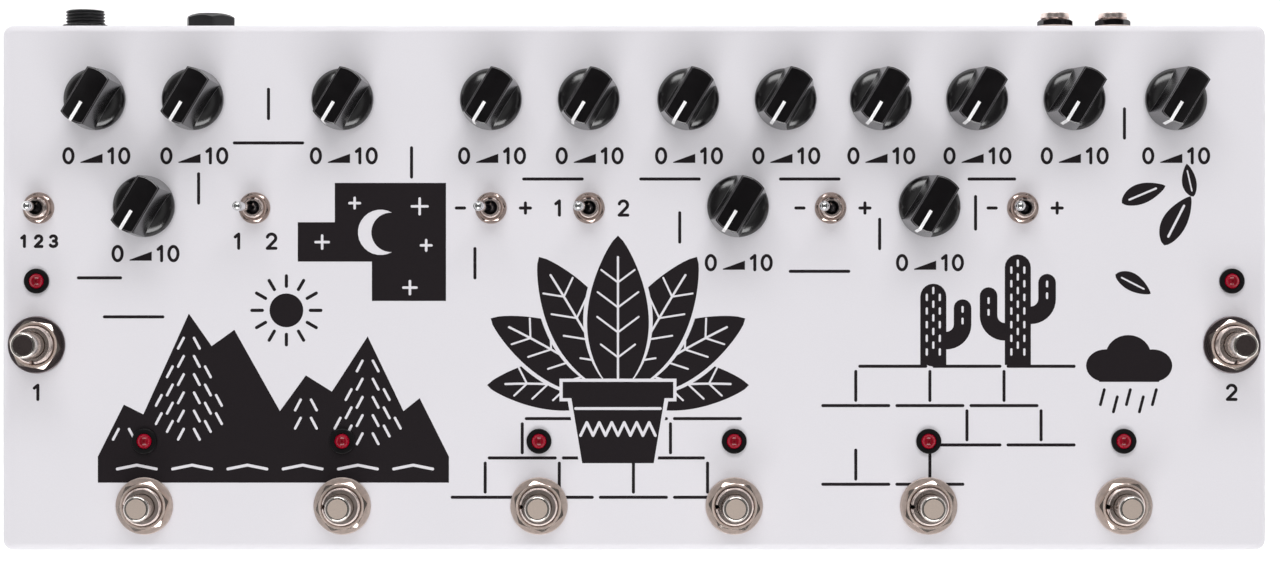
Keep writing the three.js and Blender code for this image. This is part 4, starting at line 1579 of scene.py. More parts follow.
@dataclass
class Indicator:
    """An indicator light: a black bezel with its barrel, and a domed lens."""

    layout: Layout
    bezel_radius: float = 3.85 * MM
    bezel_height: float = 1.1 * MM
    barrel_radius: float = 3.1 * MM
    barrel_depth: float = 7.0 * MM
    barrel_edge: float = 0.3 * MM
    bezel_edges: Size = (0.1 * MM, 0.25 * MM, 0.15 * MM)
    well_depth: float = 1.0 * MM
    lens_radius: float = 2.3 * MM
    lens_gap: float = 0.06 * MM
    lens_depth: float = 0.9 * MM
    lens_rise: float = 2.8 * MM
    lens_shoulder_share: float = 0.55
    lens_sides: int = 64

    def build(self, number: int, finishes: Finishes) -> list[Piece]:
        """Build a numbered indicator: a turned bezel, and a lens with half an ellipse as its dome."""
        node = f"led_{number}"
        seat = Seat(*self.layout.middle(node), self.layout.panel)
        well_radius = self.lens_radius + self.lens_gap
        foot_edge, top_edge, well_edge = self.bezel_edges
        bezel = Shell().put(seat, revolved(filleted([
            (0.0, -self.barrel_depth, 0.0), (self.barrel_radius, -self.barrel_depth, self.barrel_edge),
            (self.barrel_radius, 0.0, 0.0), (self.bezel_radius, 0.0, foot_edge),
            (self.bezel_radius, self.bezel_height, top_edge),
            (well_radius, self.bezel_height, well_edge), (well_radius, -self.well_depth, 0.0),
            (0.0, -self.well_depth, 0.0),
        ]))).build(f"indicator_bezel_{number}", finishes.bezel)
        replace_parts(bezel, node)
        turn = np.linspace(0, math.pi / 2, 16)
        base = self.bezel_height * self.lens_shoulder_share
        dome = np.stack([
            self.lens_radius * np.cos(turn), base + (self.lens_rise - base) * np.sin(turn),
        ], axis=-1)
        foot = [(0.0, -self.lens_depth), (self.lens_radius, -self.lens_depth)]
        form = revolved(np.concatenate([foot, dome]), self.lens_sides)
        return [bezel, Shell().put(seat, form).build(f"indicator_lens_{number}", finishes.lens)]


@dataclass
class Sockets:
    """The sockets in the rear wall: two audio jacks on a small board, an auxiliary jack and power."""

    layout: Layout
    jack_bore: float = 3.3 * MM
    bore_depth: float = 24.0 * MM
    thread_pitch: float = 1.0 * MM
    barrel_bevel: float = 0.4 * MM
    mouth: float = 0.3 * MM
    audio_radius: float = 4.4 * MM
    audio_reach: float = 5.7 * MM
    audio_washer: tuple[float, float] = (5.9 * MM, 1.7 * MM)
    audio_nut: tuple[float, float, float] = (9.8 * MM, 1.9 * MM, 4.8 * MM)
    audio_turn: float = 13.0
    audio_case: Size = (15.6 * MM, 12.0 * MM, 22.0 * MM)
    board_size: tuple[float, float] = (22.0 * MM, 1.6 * MM)
    board_edge: float = 0.3 * MM
    ferrule_radius: float = 4.6 * MM
    ferrule_height: float = 1.6 * MM
    ferrule_rise: float = 0.2 * MM
    ring_rounds: tuple[float, float] = (0.12 * MM, 0.25 * MM)
    aux_radius: float = 5.6 * MM
    aux_reach: float = 5.4 * MM
    aux_nut: tuple[float, float, float] = (14.4 * MM, 5.1 * MM, 6.3 * MM)
    aux_turn: float = 12.0
    aux_case: Size = (15.0 * MM, 12.0 * MM, 24.0 * MM)
    power_radius: float = 6.1 * MM
    power_reach: float = 6.5 * MM
    power_bore: tuple[float, float] = (4.0 * MM, 10.0 * MM)
    power_nut: tuple[float, float] = (7.2 * MM, 2.0 * MM)
    power_nut_rounds: tuple[float, float] = (0.15 * MM, 0.3 * MM)
    power_nut_sides: int = 120
    scallops: int = 10
    scallop_depth: float = 0.45 * MM
    pin_radius: float = 1.05 * MM
    pin_sink: float = 1.5 * MM
    pin_root: float = 1.0 * MM
    pin_edge: float = 0.6 * MM
    pin_sides: int = 48
    power_case: Size = (14.0 * MM, 11.0 * MM, 13.0 * MM)

    def seat(self, place: tuple[float, float], turn: float = 0.0) -> Seat:
        """Give the seat of a socket on the rear wall's outer face."""
        return Seat(place[0], self.layout.rear, place[1], turn=turn, facing=Facing.REAR)

    def barrel(
        self, name: str, seat: Seat, radius: float, reach: float, bore: tuple[float, float], look: Look,
    ) -> Piece:
        """Build a threaded barrel, with the radius of its bore and the height of the bore's floor."""
        form = Bushing(radius, self.thread_pitch, self.barrel_bevel, bore[0], self.mouth)
        surface = form.surface(-WALL, reach, bore[1])
        return Shell().put(seat, surface).build(name, look, crease=THREAD_CREASE)

    def nut(
        self, name: str, seat: Seat, form: tuple[float, float, float], bore: float, foot: float,
        look: Look,
    ) -> Piece:
        """Build a nut from its flats, height and flat top's radius, with its foot at a height."""
        flats, height, flat_radius = form
        points, uv = HexNut(flats, height, bore, flat_radius).surface()
        return Shell().put(seat, (points + np.array([0, 0, foot]), uv)).build(name, look)

    def audio(self, number: int, finishes: Finishes) -> list[Piece]:
        """Build an audio jack: its nut, its barrel with a bright ferrule, its washer and its case."""
        place = self.layout.bore(f"audio_jack_{number}_bore")
        seat = self.seat(place, self.audio_turn * number)
        washer_radius, washer_height = self.audio_washer
        reach, nickel = self.audio_reach, finishes.nickel
        nut = self.nut(
            f"audio_nut_{number}", seat, self.audio_nut, self.audio_radius, washer_height,
            finishes.black_nut,
        )
        barrel = self.barrel(
            f"audio_barrel_{number}", seat, self.audio_radius, reach - self.ferrule_rise,
            (self.jack_bore, reach - self.bore_depth), nickel,
        )
        ferrule = ring(
            self.jack_bore + self.mouth, self.ferrule_radius, reach - self.ferrule_height, reach,
            self.ring_rounds, bored=True,
        )
        washer = ring(self.audio_radius, washer_radius, 0.0, washer_height, self.ring_rounds, bored=True)
        return [
            barrel,
            Shell().put(seat, ferrule).build(f"audio_ferrule_{number}", nickel),
            Shell().put(seat, washer).build(f"audio_washer_{number}", finishes.washer),
            nut,
            Case(self.audio_case).build(f"audio_case_{number}", self.seat(place), finishes.audio_case),
        ]

    def build(self, finishes: Finishes) -> list[Piece]:
        """Build every socket, and the small board along the lower edge of the audio jacks' node."""
        first, second = self.audio(1, finishes), self.audio(2, finishes)
        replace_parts(first[0], "audio_jacks")
        low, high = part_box("audio_jacks")
        depth, thickness = self.board_size
        middle = ((low.x + high.x) / 2, low.y + depth / 2, low.z + thickness / 2)
        board = Shell().block(
            Seat(0.0, 0.0, 0.0), (high.x - low.x, depth, thickness), self.board_edge, middle,
        ).build("audio_board", finishes.mask)
        place = self.layout.bore("aux_jack_bore")
        seat, reach = self.seat(place, self.aux_turn), self.aux_reach
        aux = self.barrel(
            "aux_barrel", seat, self.aux_radius, reach, (self.jack_bore, reach - self.bore_depth),
            finishes.socket,
        )
        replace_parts(aux, "aux_jack")
        nut = self.nut("aux_nut", seat, self.aux_nut, self.aux_radius, 0.0, finishes.socket)
        case = Case(self.aux_case).build("aux_case", self.seat(place), finishes.socket)
        return [*first, *second, board, aux, nut, case, *self.power(finishes)]

    def power(self, finishes: Finishes) -> list[Piece]:
        """Build the power socket: barrel, gripped round nut, centre pin and case.

        The nut's rim is scalloped: its radius dips several times around the turn, wherever the cosine
        of that many times the angle is over two thirds.
        """
        seat = self.seat(self.layout.power())
        bore, depth = self.power_bore
        floor = self.power_reach - depth
        barrel = self.barrel(
            "power_barrel", seat, self.power_radius, self.power_reach, (bore, floor), finishes.socket,
        )
        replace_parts(barrel, "power_jack")
        rim, height = self.power_nut
        points, uv = ring(
            self.power_radius, rim, 0.0, height, self.power_nut_rounds, sides=self.power_nut_sides,
        )
        across, up = points[..., 0], points[..., 1]
        dip = np.clip(3 * np.cos(self.scallops * np.arctan2(up, across)) - 2, 0, 1) * self.scallop_depth
        outer = np.hypot(across, up) > (rim + self.power_radius) / 2
        points[..., :2] *= (1 - np.where(outer, dip, 0) / rim)[..., None]
        nut = Shell().put(seat, (points, uv)).build("power_nut", finishes.socket)
        foot, tip = floor - self.pin_root, self.power_reach - self.pin_sink
        pin = Shell().put(seat, revolved(filleted([
            (0.0, foot, 0.0), (self.pin_radius, foot, 0.0), (self.pin_radius, tip, self.pin_edge),
            (0.0, tip, 0.0),
        ]), self.pin_sides)).build("power_pin", finishes.nickel)
        case = Case(self.power_case).build("power_case", seat, finishes.socket)
        return [barrel, nut, pin, case]


def arc(
    x: float, y: float, across: float, up: float, start: float, end: float, count: int = 20,
) -> np.ndarray:
    """Give an arc of an ellipse between two angles in degrees."""
    angle = np.radians(np.linspace(start, end, count))
    return np.stack([x + across * np.cos(angle), y + up * np.sin(angle)], axis=-1)


def between(first: Path2D, second: Path2D) -> np.ndarray:
    """Give the outline that runs along one path and back along another."""
    return np.concatenate([np.asarray(first, dtype=float), np.asarray(second, dtype=float)[::-1]])


def ribbon(points: np.ndarray, width: float) -> np.ndarray:
    """Give the outline of a smooth line of even width with round ends.

    Each point moves sideways by half the width along the mean normal of its neighbours, and at each
    end the half width closes as a half circle.
    """
    ways = np.diff(points, axis=0)
    ways /= np.linalg.norm(ways, axis=1, keepdims=True)
    normals = np.stack([-ways[:, 1], ways[:, 0]], axis=-1)
    before, after = np.concatenate([normals[:1], normals]), np.concatenate([normals, normals[-1:]])
    offsets = (before + after) / (1 + np.sum(before * after, axis=1, keepdims=True))
    turn = np.linspace(math.pi / 2, 0, 6)[:-1, None]
    half = width / 2
    start = points[0] - ways[0] * half * np.sin(turn)
    stop = (points[-1] + ways[-1] * half * np.sin(turn))[::-1]
    line = np.concatenate([start, points, stop])
    ends = [normals[0] * np.cos(turn), (normals[-1] * np.cos(turn))[::-1]]
    side = np.concatenate([ends[0], offsets, ends[1]]) * half
    return between(line + side, line - side)


def stroke(path: Path2D, width: float) -> list[np.ndarray]:
    """Give a line of even width as outlines, one for each part between its sharp bends."""
    points = np.asarray(path, dtype=float)
    ways = np.diff(points, axis=0)
    ways /= np.linalg.norm(ways, axis=1, keepdims=True)
    sharp = np.sum(ways[:-1] * ways[1:], axis=1) < math.cos(math.radians(SHARP_BEND))
    cuts = [0, *(np.flatnonzero(sharp) + 1), len(points) - 1]
    return [ribbon(points[first:last + 1], width) for first, last in zip(cuts, cuts[1:])]


def moved(
    outlines: Sequence[np.ndarray], x: float, y: float, scale: float = 1.0, turn: float = 0.0,
) -> list[np.ndarray]:
    """Scale, turn and move outlines in the panel's plane."""
    angle = math.radians(turn)
    matrix = scale * np.array([[math.cos(angle), math.sin(angle)], [-math.sin(angle), math.cos(angle)]])
    return [outline @ matrix + (x, y) for outline in outlines]


def disc(x: float, y: float, across: float, up: float) -> np.ndarray:
    """Give a filled ellipse."""
    return arc(x, y, across, up, 0, 360, 33)


def rectangle(x: float, y: float, width: float, height: float) -> np.ndarray:
    """Give a filled rectangle from its lower left corner."""
    return np.array([(x, y), (x + width, y), (x + width, y + height), (x, y + height)])


def crescent(radius: float, shift: float, tip: float) -> np.ndarray:
    """Give a crescent: a circle's arc from one tip to the other, and back along a shifted circle.

    The shifted circle passes through both tips, which lie at an angle in degrees above and below +X.
    """
    tip_x, tip_y = radius * math.cos(math.radians(tip)) - shift, radius * math.sin(math.radians(tip))
    inner, start = math.hypot(tip_x, tip_y), math.degrees(math.atan2(tip_y, tip_x))
    outside = arc(0, 0, radius, radius, tip, 360 - tip)
    return between(outside, arc(shift, 0, inner, inner, start, 360 - start))


def leaf(length: float, width: float, bend: float = 0.0) -> tuple[np.ndarray, list[np.ndarray]]:
    """Give a leaf along +Y: its blade, and its midrib and side veins.

    The half width is the sine of half a turn times the way to the power 0.85, raised to three
    quarters. The middle line bends sideways with the square of the way. The side veins reach most of
    the half width.
    """
    way = np.linspace(0, 1, 30)
    middle = np.stack([bend * way**2, length * way], axis=-1)
    half = width / 2 * np.sin(math.pi * way**0.85) ** 0.75
    half[-1] = 0
    side = np.stack([half, 0 * half], axis=-1)
    veins = stroke(middle[2:-4], 0.7)
    for share in (0.22, 0.38, 0.54, 0.7):
        root = np.array([bend * share**2, length * share])
        reach = width / 2 * math.sin(math.pi * share**0.85) ** 0.75 * 0.68
        for turn in (-1, 1):
            veins.extend(stroke([root, root + (turn * reach, reach * 0.75)], 0.6))
    return between(middle - side, middle + side), veins


def topmost_black(shapes: Sequence[tuple[Ink, np.ndarray]]) -> tuple[np.ndarray, np.ndarray]:
    """Give what stays black of shapes that are laid one over another.

    All the outlines cut the plane into triangles, and each triangle takes the ink of the last shape
    that covers it.

    Args:
        shapes: Each shape's ink and outline, from the lowest to the uppermost.

    Returns:
        The points in plan and the black triangles, which run anticlockwise.
    """
    loops, faces, count = [], [], 0
    for _, outline in shapes:
        apart = np.linalg.norm(outline - np.roll(outline, 1, axis=0), axis=1) > PRINT_WELD
        loop = outline[apart]
        ahead = np.roll(loop, -1, axis=0)
        if np.sum(loop[:, 0] * ahead[:, 1] - loop[:, 1] * ahead[:, 0]) < 0:
            loop = loop[::-1]
        loops.append(loop)
        faces.append(list(range(count, count + len(loop))))
        count += len(loop)
    corners = [Vector(point) for point in np.concatenate(loops).tolist()]
    found = delaunay_2d_cdt(corners, [], faces, 1, PRINT_WELD / 10)
    black = [
        triangle for triangle, sources in zip(found[2], found[5])
        if sources and shapes[max(sources)][0] is Ink.BLACK
    ]
    used, triangles = np.unique(np.array(black), return_inverse=True)
    return np.array([tuple(found[0][index]) for index in used]), triangles.reshape(-1, 3)


def slab(points: np.ndarray, triangles: np.ndarray, low: float, high: float) -> Shell:
    """Raise flat triangles into a closed solid: two faces, and a wall on each edge that only one has."""
    edges = np.concatenate([triangles[:, [0, 1]], triangles[:, [1, 2]], triangles[:, [2, 0]]])
    keys = {tuple(edge) for edge in edges.tolist()}
    rim = np.array([edge for edge in edges.tolist() if (edge[1], edge[0]) not in keys])
    count = len(points)
    shell = Shell()
    both = np.concatenate([raised(points, low), raised(points, high)])
    shell.faces(both, np.concatenate([triangles[:, ::-1], triangles + count]))
    walls = np.column_stack([rim[:, 0], rim[:, 1], rim[:, 1] + count, rim[:, 0] + count])
    return shell.faces(both, walls)


@dataclass
class PanelPrint:
    """The print on the panel: plain numbers and signs, brick joints, blocks and plants.

    Its places are millimetres from the panel's middle.
    """

    layout: Layout
    stroke_width: float = 0.95
    numeral_height: float = 5.2
    small_numeral_height: float = 3.9
    numeral_pitch: float = 0.76
    dial_reach: tuple[float, float] = (8.3, 6.9)
    sign_reach: tuple[float, float] = (9.4, 10.6)
    three_way_pitch: float = 4.6
    two_way_reach: float = 5.2
    label_drop: float = 17.3
    left_label_drop: float = 14.5
    toggle_label_drop: float = 10.2
    footswitch_label_drop: float = 14.6
    course_height: float = 12.1
    brick_length: float = 22.8
    joint_gap: float = 2.5
    joint_inset: float = 1.6
    ink_height: float = 0.03 * MM

    def __post_init__(self) -> None:
        """Start with no shapes."""
        self.shapes: list[tuple[Ink, np.ndarray]] = []

    def black(self, *outlines: np.ndarray) -> None:
        """Lay black shapes over what is there."""
        self.shapes.extend((Ink.BLACK, outline) for outline in outlines)

    def bare(self, *outlines: np.ndarray) -> None:
        """Take shapes out of the black below them."""
        self.shapes.extend((Ink.BARE, outline) for outline in outlines)

    def line(self, *points: Sequence[float]) -> None:
        """Draw a black line of the print's own width through points."""
        self.black(*stroke(points, self.stroke_width))

    def spots(self, stem: str, joint: str | None = None) -> list[tuple[float, float]]:
        """Give where numbered nodes or their joints stand, in millimetres."""
        return [(x / MM, y / MM) for x, y in self.layout.spots(stem, joint)]

    def sign(self, text: str, x: float, y: float, height: float) -> None:
        """Write numerals and signs with strokes, centred on a place.

        Each numeral is arcs and straight lines in a box one high, and 0.62 wide.
        """
        glyphs = {
            "0": [arc(0, 0, 0.27, 0.42, 90, 270), arc(0, 0, 0.27, 0.42, 270, 450)],
            "1": [[(0.06, -0.42), (0.06, 0.42)], [(-0.15, 0.25), (0.06, 0.42)]],
            "2": [np.concatenate([arc(0, 0.18, 0.25, 0.24, 165, -35), [(-0.25, -0.42)]]),
                  [(-0.25, -0.42), (0.26, -0.42)]],
            "3": [arc(-0.02, 0.21, 0.24, 0.21, 150, -90), arc(-0.02, -0.2, 0.27, 0.22, 90, -150)],
            "-": [[(-0.24, 0), (0.24, 0)]],
            "+": [[(-0.3, 0), (0.3, 0)], [(0, -0.3), (0, 0.3)]],
        }
        for index, character in enumerate(text):
            offset = (index - (len(text) - 1) / 2) * self.numeral_pitch
            for path in glyphs[character]:
                self.line(*((np.asarray(path) + (offset, 0)) * height + (x, y)))

    def labels(self) -> None:
        """Write a dial's end numbers with a rising wedge under each knob, and signs by the switches."""
        knobs = self.spots("knob", KNOB_JOINT)
        left_knob = min(knobs[-3:])
        for x, y in knobs:
            level = y - (self.left_label_drop if (x, y) == left_knob else self.label_drop)
            self.sign("0", x - self.dial_reach[0], level, self.numeral_height)
            self.sign("10", x + self.dial_reach[1], level, self.numeral_height)
            wedge = between([(-4.6, 0), (2.2, 0)], [(-4.6, 0.3), (2.2, 2.8)])
            self.black(*moved([wedge], x, level - 0.42 * self.numeral_height))
        first, second, *others = self.spots("toggle_body", TOGGLE_JOINT)
        level = first[1] - self.toggle_label_drop
        for step, text in zip((-1, 0, 1), "123"):
            self.sign(text, first[0] + self.three_way_pitch * step, level, self.small_numeral_height)
        level = second[1] - self.toggle_label_drop
        for side, text in ((-1, "1"), (1, "2")):
            self.sign(text, second[0] + self.two_way_reach * side, level, self.numeral_height)
        for (x, y), left, right in zip(others, "-1--", "+2++"):
            self.sign(left, x - self.sign_reach[0], y, self.numeral_height)
            self.sign(right, x + self.sign_reach[1], y, self.numeral_height)
        switches = self.spots("footswitch_body")
        for (x, y), text in ((switches[0], "1"), (switches[-1], "2")):
            self.sign(text, x, y - self.footswitch_label_drop, self.numeral_height)

    def bricks(
        self, left: float, bottom: float, columns: int, rows: int, skip: Sequence[tuple[int, int]] = (),
    ) -> None:
        """Draw the joints of a running bond: each course is shifted by half a brick.

        Args:
            left: The left edge.
            bottom: The lowest bed joint.
            columns: How many bricks a course has.
            rows: How many courses there are.
            skip: Bricks, by column and row, whose bed and side joint are left out.
        """
        run = self.brick_length - self.joint_gap
        for row in range(rows + 1):
            for column in range(columns):
                if (column, row) in skip:
                    continue
                start = left + self.brick_length * (column + 0.5 * (row % 2))
                level = bottom + self.course_height * row
                self.line((start, level), (start + run, level))
                if row < rows:
                    middle, inset = start + run / 2, self.joint_inset
                    self.line((middle, level + inset), (middle, level + self.course_height - inset))

    def plant(self, x: float, y: float) -> None:
        """Draw a pot with a zigzag band and a fan of large veined leaves, the middle one in front."""
        fan = ((80, 40, 16, 5), (55, 45, 18, 4), (28, 48, 19, 2), (0, 48, 19, 0))
        for turn, length, width, bend in fan:
            for side in (-1, 1) if turn else (0,):
                blade, veins = leaf(length, width, side * bend)
                halo, _ = leaf(length + 1.6, width + 2.4, side * bend)
                self.bare(*moved([halo], x, y, turn=-side * turn))
                self.black(*moved([blade], x, y, turn=-side * turn))
                self.bare(*moved(veins, x, y, turn=-side * turn))
        behind = between([(-16, 0), (-12, -22)], [(16, 0), (12, -22)])
        pot = between([(-15, 2), (-11, -22)], [(15, 2), (11, -22)])
        self.bare(*moved([rectangle(-18, -3, 36, 7), behind], x, y))
        self.black(*moved([pot, rectangle(-17, -2, 34, 5)], x, y))
        steps = enumerate(np.linspace(-11.5, 11.5, 13))
        zigzag = [(across, -9.5 if index % 2 else -13.5) for index, across in steps]
        self.bare(*moved([*stroke(zigzag, 0.9), *stroke([(-13, -5.2), (13, -5.2)], 0.9)], x, y))

    def mountains(self, x: float, y: float) -> None:
        """Draw peaks hatched with bare dashes down both slopes, and a sun with rays over them."""
        ridge = np.array([
            (-52, 0), (-44, 16), (-38, 13), (-24, 44), (-17, 34), (-10, 39), (4, 14), (12, 25), (20, 20),
            (31, 37), (42, 14), (47, 18), (56, 0),
        ], dtype=float)
        base = np.column_stack([ridge[:, 0], np.full(len(ridge), -8.0)])
        self.black(*moved([between(base, ridge)], x, y))
        lines = []
        for peak_x, peak_y, rows in ((-24, 44, 6), (31, 37, 5), (12, 25, 2), (-44, 16, 1)):
            for row in range(rows):
                for column in range(row // 2 + 1):
                    for side in (-1, 1):
                        across = peak_x + side * (1.6 + 3.4 * column)
                        top = peak_y - 7.5 - 5.6 * row + 2.4 * column
                        lines.extend(stroke([(across, top), (across + side * 1.7, top - 3.2)], 0.8))
        for step in range(6):
            start = -46 + 17 * step
            lines.extend(stroke([(start, -3.8), (start + 6, -2.6), (start + 12, -3.8)], 0.9))
        self.bare(*moved(lines, x, y))
        sun = [disc(0, 0, 5.2, 5.2)]
        for turn in range(0, 360, 30):
            sun.extend(moved(stroke([(7.4, 0), (10.6, 0)], 1.0), 0, 0, turn=-turn))
        self.black(*moved(sun, x + 6, y + 45))

    def cactus(
        self, x: float, y: float, height: float, arms: Sequence[tuple[int, float, float]],
    ) -> None:
        """Draw a cactus: round-topped columns with rows of short bare spines.

        Args:
            x: The stem's middle.
            y: Its foot.
            height: Its height.
            arms: Each arm's side, the share of the height where it leaves, and its own height.
        """
        self.black(*moved([*stroke([(0, 3.5), (0, height - 4)], 8.0), rectangle(-4, 0, 8, 5)], x, y))
        spines = []
        for row in np.arange(4, height - 3, 4.2):
            for column in (-2.0, 0.0, 2.0):
                middle = row + (2.1 if column == 0 else 0.0)
                spines.extend(stroke([(column, middle - 0.8), (column, middle + 0.8)], 0.7))
        for side, share, rise in arms:
            elbow = height * share
            bend = arc(side * 4, elbow + 5, side * 5, 5, -90, 0, 10)
            arm = np.concatenate([[(0, elbow)], bend, [(side * 9, elbow + 5 + rise)]])
            self.black(*moved(stroke(arm, 5.4), x, y))
            for row in np.arange(elbow + 6, elbow + 5 + rise, 3.6):
                spines.extend(stroke([(side * 9, row - 0.7), (side * 9, row + 0.7)], 0.7))
        self.bare(*moved(spines, x, y))

    def night_blocks(self) -> None:
        """Draw black blocks in steps with a bare crescent and a few sparks in them."""
        blocks = [(-103.5, 8.0, 45.6, 12.1), (-92.1, 20.1, 34.2, 12.1), (-80.7, -4.1, 22.8, 12.2)]
        self.black(*[rectangle(*block) for block in blocks])
        self.bare(*moved([crescent(7.0, 3.2, 60.0)], -78, 17))
        sparks = ((-66, 25, 2.4), (-64, 13, 1.6), (-86, 26, 1.6), (-96, 14, 2.0), (-69, 0, 2.0))
        for x, y, size in sparks:
            self.bare(*stroke([(x - size, y), (x + size, y)], 0.8))
            self.bare(*stroke([(x, y - size), (x, y + size)], 0.8))

    def drifting_leaves(self) -> None:
        """Draw a few loose leaves and a cloud with rain on the right."""
        blade, _ = leaf(34, 15, 5)
        places = ((150, 26, 0.42, -60), (163, 13, 0.5, -20), (148, 4, 0.36, -110), (172, 28, 0.3, 20))
        for x, y, size, turn in places:
            self.black(*moved([blade], x, y, size, turn))
            self.bare(*moved(stroke([(0.6, 6), (3.2, 27)], 1.5), x, y, size, turn))
        puffs = [disc(-7, 0, 6, 5), disc(0, 3, 7, 6.4), disc(7.5, 0, 6, 5), rectangle(-9, -5, 18.5, 5)]
        self.black(*moved(puffs, 152, -24))
        for step in range(5):
            top = -31.4 - 2.2 * (step % 2)
            self.black(*stroke([(144.6 + 4 * step, top), (143.4 + 4 * step, top - 4.6)], 0.9))

    def lone_joints(self) -> None:
        """Draw the few joints that stand alone between the controls."""
        flat = [
            (-123, -102, 44.5), (-34, -16, 33.4), (2, 20, 33.4), (45, 63, 33.4), (103, 117, 33.4),
            (-171, -158, 3.0), (-163, -145, -9.0), (48, 66, 5.0),
        ]
        upright = [
            (-112.5, 52.0, 61.0), (-68.5, 34.0, 43.0), (-134, 26.0, 35.0), (14, 14.0, 23.0),
            (105, 18.0, 28.0), (75.5, 12.0, 21.0), (-49, 3.0, 12.0), (150.8, 46.0, 55.0),
        ]
        for start, end, level in flat:
            self.line((start, level), (end, level))
        for x, start, end in upright:
            self.line((x, start), (x, end))

    def build(self, finishes: Finishes) -> list[Piece]:
        """Lay out the print from back to front, leave the panel's holes bare, and raise the black."""
        self.lone_joints()
        self.labels()
        self.night_blocks()
        self.mountains(-113, -52)
        self.bricks(-56, -64.5, 4, 2, skip=((0, 2), (3, 1)))
        self.bricks(58, -60.5, 3, 3, skip=((2, 0), (0, 1)))
        self.plant(-5, -32)
        self.cactus(92, -23.8, 25, ((1, 0.3, 5),))
        self.cactus(118, -23.8, 34, ((-1, 0.3, 6), (1, 0.45, 5)))
        self.drifting_leaves()
        for x, y, radius in Enclosure(self.layout).panel_holes():
            self.bare(disc(x / MM, y / MM, radius / MM, radius / MM))
        points, triangles = topmost_black(self.shapes)
        panel = self.layout.panel
        placed = points * MM + np.array(self.layout.middle("enclosure"))
        ground = slab(placed, triangles, panel - self.ink_height / 3, panel + self.ink_height)
        return [ground.build("panel_print", finishes.ink)]


@dataclass(frozen=True)
class SoftBox:
    """A soft white light: its place, its size, its power, and the point over the floor it faces."""

    name: str
    place: Size
    size: tuple[float, float]
    power: float
    target: Size = (0.0, 0.0, 30.0 * MM)

    def build(self) -> None:
        """Make the lamp and aim it."""
        lamp = bpy.data.lights.new(self.name, "AREA")
        lamp.shape = "RECTANGLE"
        lamp.size, lamp.size_y = self.size
        lamp.energy = self.power
        holder = bpy.data.objects.new(self.name, lamp)
        holder.location = self.place
        aim = Vector(self.target) - Vector(self.place)
        holder.rotation_euler = aim.to_track_quat("-Z", "Y").to_euler()
        bpy.context.scene.collection.objects.link(holder)


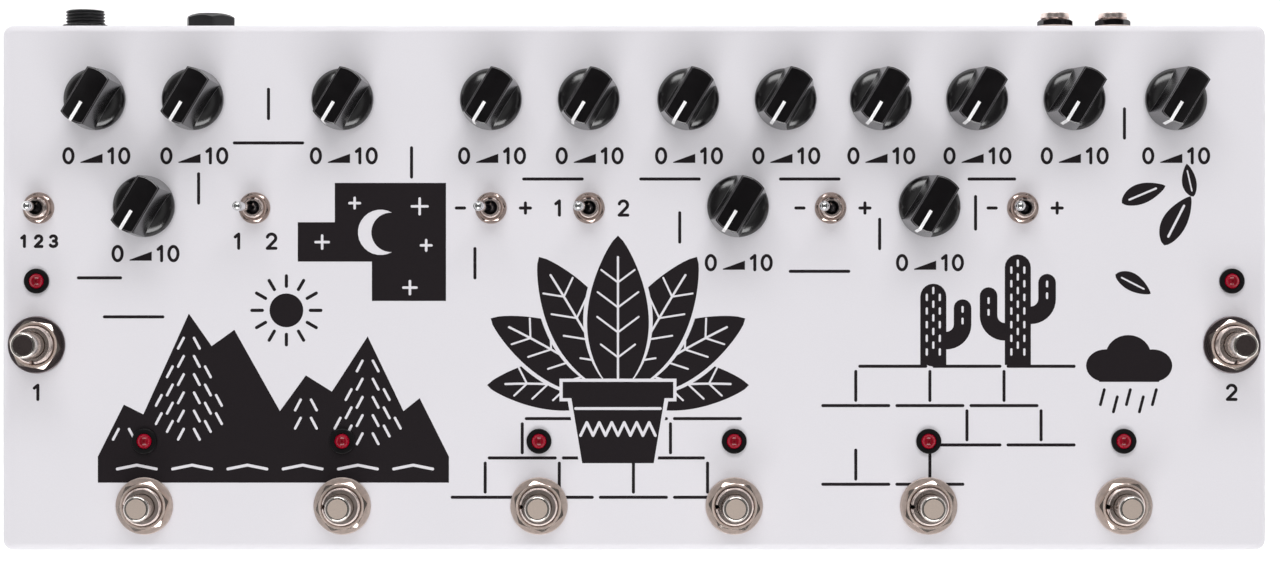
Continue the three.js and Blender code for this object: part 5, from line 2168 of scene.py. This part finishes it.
@dataclass
class Studio:
    """A pale floor, two long soft boxes in front and behind, a graded surround and the camera above.

    The fill is what diffuse rays find in the surround, and the sky is what all other rays find: each a
    list of heights of a direction, from the horizon at zero to the zenith at one, and brightnesses.
    """

    camera_place: Size = (-1.3 * MM, -12.6 * MM, 888.0 * MM)
    focal_length: float = 76.8
    sensor_width: float = 36.0
    shift_pixels: tuple[float, float] = (10.0, 36.5)
    picture_pixels: float = 1280.0
    floor_half: float = 2.5
    floor_lift: float = 0.45
    fill: tuple[tuple[float, float], ...] = ((0.02, 1.0), (0.3, 0.03), (0.7, 0.023), (0.92, 0.333))
    fill_strength: float = 3.1
    sky: tuple[tuple[float, float], ...] = (
        (0.08, 1.0), (0.42, 0.1), (0.8, 0.1), (0.87, 0.35), (0.93, 0.35), (0.96, 0.03),
    )
    box_place: tuple[float, float] = (0.9, 0.81)
    box_size: tuple[float, float] = (1.1, 0.4)
    box_power: float = 6.4

    def build(self) -> None:
        """Make the floor, the surround, the lights and the camera."""
        bpy.context.scene.view_settings.view_transform = "Standard"
        self.floor()
        self.world()
        away, height = self.box_place
        for name, y in (("rear_box", away), ("front_box", -away)):
            SoftBox(name, (0.0, y, height), self.box_size, self.box_power).build()
        self.camera()

    def camera(self) -> None:
        """Make the camera, which looks straight down."""
        lens = bpy.data.cameras.new("overhead_camera")
        lens.lens = self.focal_length
        lens.sensor_width = self.sensor_width
        lens.shift_x, lens.shift_y = [pixels / self.picture_pixels for pixels in self.shift_pixels]
        camera = bpy.data.objects.new("overhead_camera", lens)
        camera.location = self.camera_place
        bpy.context.scene.collection.objects.link(camera)
        bpy.context.scene.camera = camera

    def rays(self, tree: bpy.types.NodeTree) -> Source:
        """Give one for camera, glossy and transmission rays, and zero for the rest."""
        path = tree.nodes.new("ShaderNodeLightPath").outputs
        seen = joined(tree, "MAXIMUM", path["Is Camera Ray"], path["Is Glossy Ray"])
        return joined(tree, "MAXIMUM", seen, path["Is Transmission Ray"])

    def floor(self) -> None:
        """Make the floor, which looks white where the light reaches it and keeps a soft shadow."""
        half = self.floor_half
        mesh = bpy.data.meshes.new("studio_floor")
        spots = [(x * half, y * half, 0.0) for x, y in ((-1, -1), (1, -1), (1, 1), (-1, 1))]
        mesh.from_pydata(spots, [], [(0, 1, 2, 3)])
        floor = bpy.data.objects.new("studio_floor", mesh)
        bpy.context.scene.collection.objects.link(floor)
        recipe = Recipe("studio_floor", (0.8, 0.8, 0.8), 0.85)
        recipe.gloss(recipe.noise(recipe.millimetres(), 0.02), 0.8, 0.9)
        recipe.set("Specular IOR Level", 0.1)
        recipe.set("Emission Color", (1.0, 1.0, 1.0, 1.0))
        lift = joined(recipe.tree, "MULTIPLY", self.rays(recipe.tree), self.floor_lift)
        recipe.feed("Emission Strength", lift)
        mesh.materials.append(recipe.material)
        floor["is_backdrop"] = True

    def graded(
        self, tree: bpy.types.NodeTree, height: Source, stops: Sequence[tuple[float, float]],
    ) -> Source:
        """Give a brightness that runs between stops, each a direction's height and its brightness."""
        ramp = tree.nodes.new("ShaderNodeValToRGB")
        elements = ramp.color_ramp.elements
        while len(elements) < len(stops):
            elements.new(0.5)
        for element, (place, brightness) in zip(elements, stops):
            element.position = place
            element.color = (brightness, brightness, brightness, 1.0)
        tree.links.new(height, ramp.inputs["Fac"])
        return ramp.outputs["Color"]

    def world(self) -> None:
        """Make the surround.

        Diffuse light comes from the horizon and from overhead. The rest of the rays see white at the
        horizon, and a dim ceiling with a brighter ring round a dark middle.
        """
        world = bpy.data.worlds.new("studio")
        bpy.context.scene.world = world
        world.use_nodes = True
        tree = world.node_tree
        tree.nodes.clear()
        output = tree.nodes.new("ShaderNodeOutputWorld")
        direction = tree.nodes.new("ShaderNodeTexCoord")
        parts = tree.nodes.new("ShaderNodeSeparateXYZ")
        tree.links.new(direction.outputs["Generated"], parts.inputs["Vector"])
        either = tree.nodes.new("ShaderNodeMixShader")
        tree.links.new(self.rays(tree), either.inputs[0])
        for slot, stops, strength in ((1, self.fill, self.fill_strength), (2, self.sky, 1.0)):
            background = tree.nodes.new("ShaderNodeBackground")
            background.inputs["Strength"].default_value = strength
            tree.links.new(self.graded(tree, parts.outputs["Z"], stops), background.inputs["Color"])
            tree.links.new(background.outputs["Background"], either.inputs[slot])
        tree.links.new(either.outputs["Shader"], output.inputs["Surface"])


class Pedal:
    """The whole object, built one sub-assembly after another."""

    def __init__(self, frame: dict[str, Any]) -> None:
        """Read the layout and make the finishes."""
        self.frame = frame
        self.layout = Layout(frame)
        self.finishes = Finishes()

    def report(self, pieces: Sequence[Piece]) -> None:
        """Log each piece that was made."""
        for piece in pieces:
            log.info("made %s with %d faces", piece.name, len(piece.data.polygons))

    def build(self) -> None:
        """Build every sub-assembly and dress the circuit board, which stays as it is."""
        self.report(Enclosure(self.layout).build(self.finishes))
        self.report(Underside(self.layout).build(self.finishes))
        board = self.frame["nodes"]["circuit_board"]
        board.data.materials.clear()
        board.data.materials.append(self.finishes.mask.material)
        for stem, kind in (
            ("knob", Knob), ("toggle_body", Toggle), ("footswitch_body", Footswitch), ("led", Indicator),
        ):
            for number in self.layout.numbered(stem):
                self.report(kind(self.layout).build(number, self.finishes))
        self.report(Sockets(self.layout).build(self.finishes))
        self.report(PanelPrint(self.layout).build(self.finishes))


def corners() -> list[list[float]]:
    """Give the whole object's lowest and highest corners as plain lists."""
    return [[float(value) for value in corner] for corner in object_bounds()]


def main() -> None:
    """Load the frame, and build the studio and the pedal."""
    logging.basicConfig(level=logging.INFO, format="%(name)s: %(message)s")
    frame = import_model()
    Studio().build()
    Pedal(frame).build()


if __name__ == "__main__":
    main()
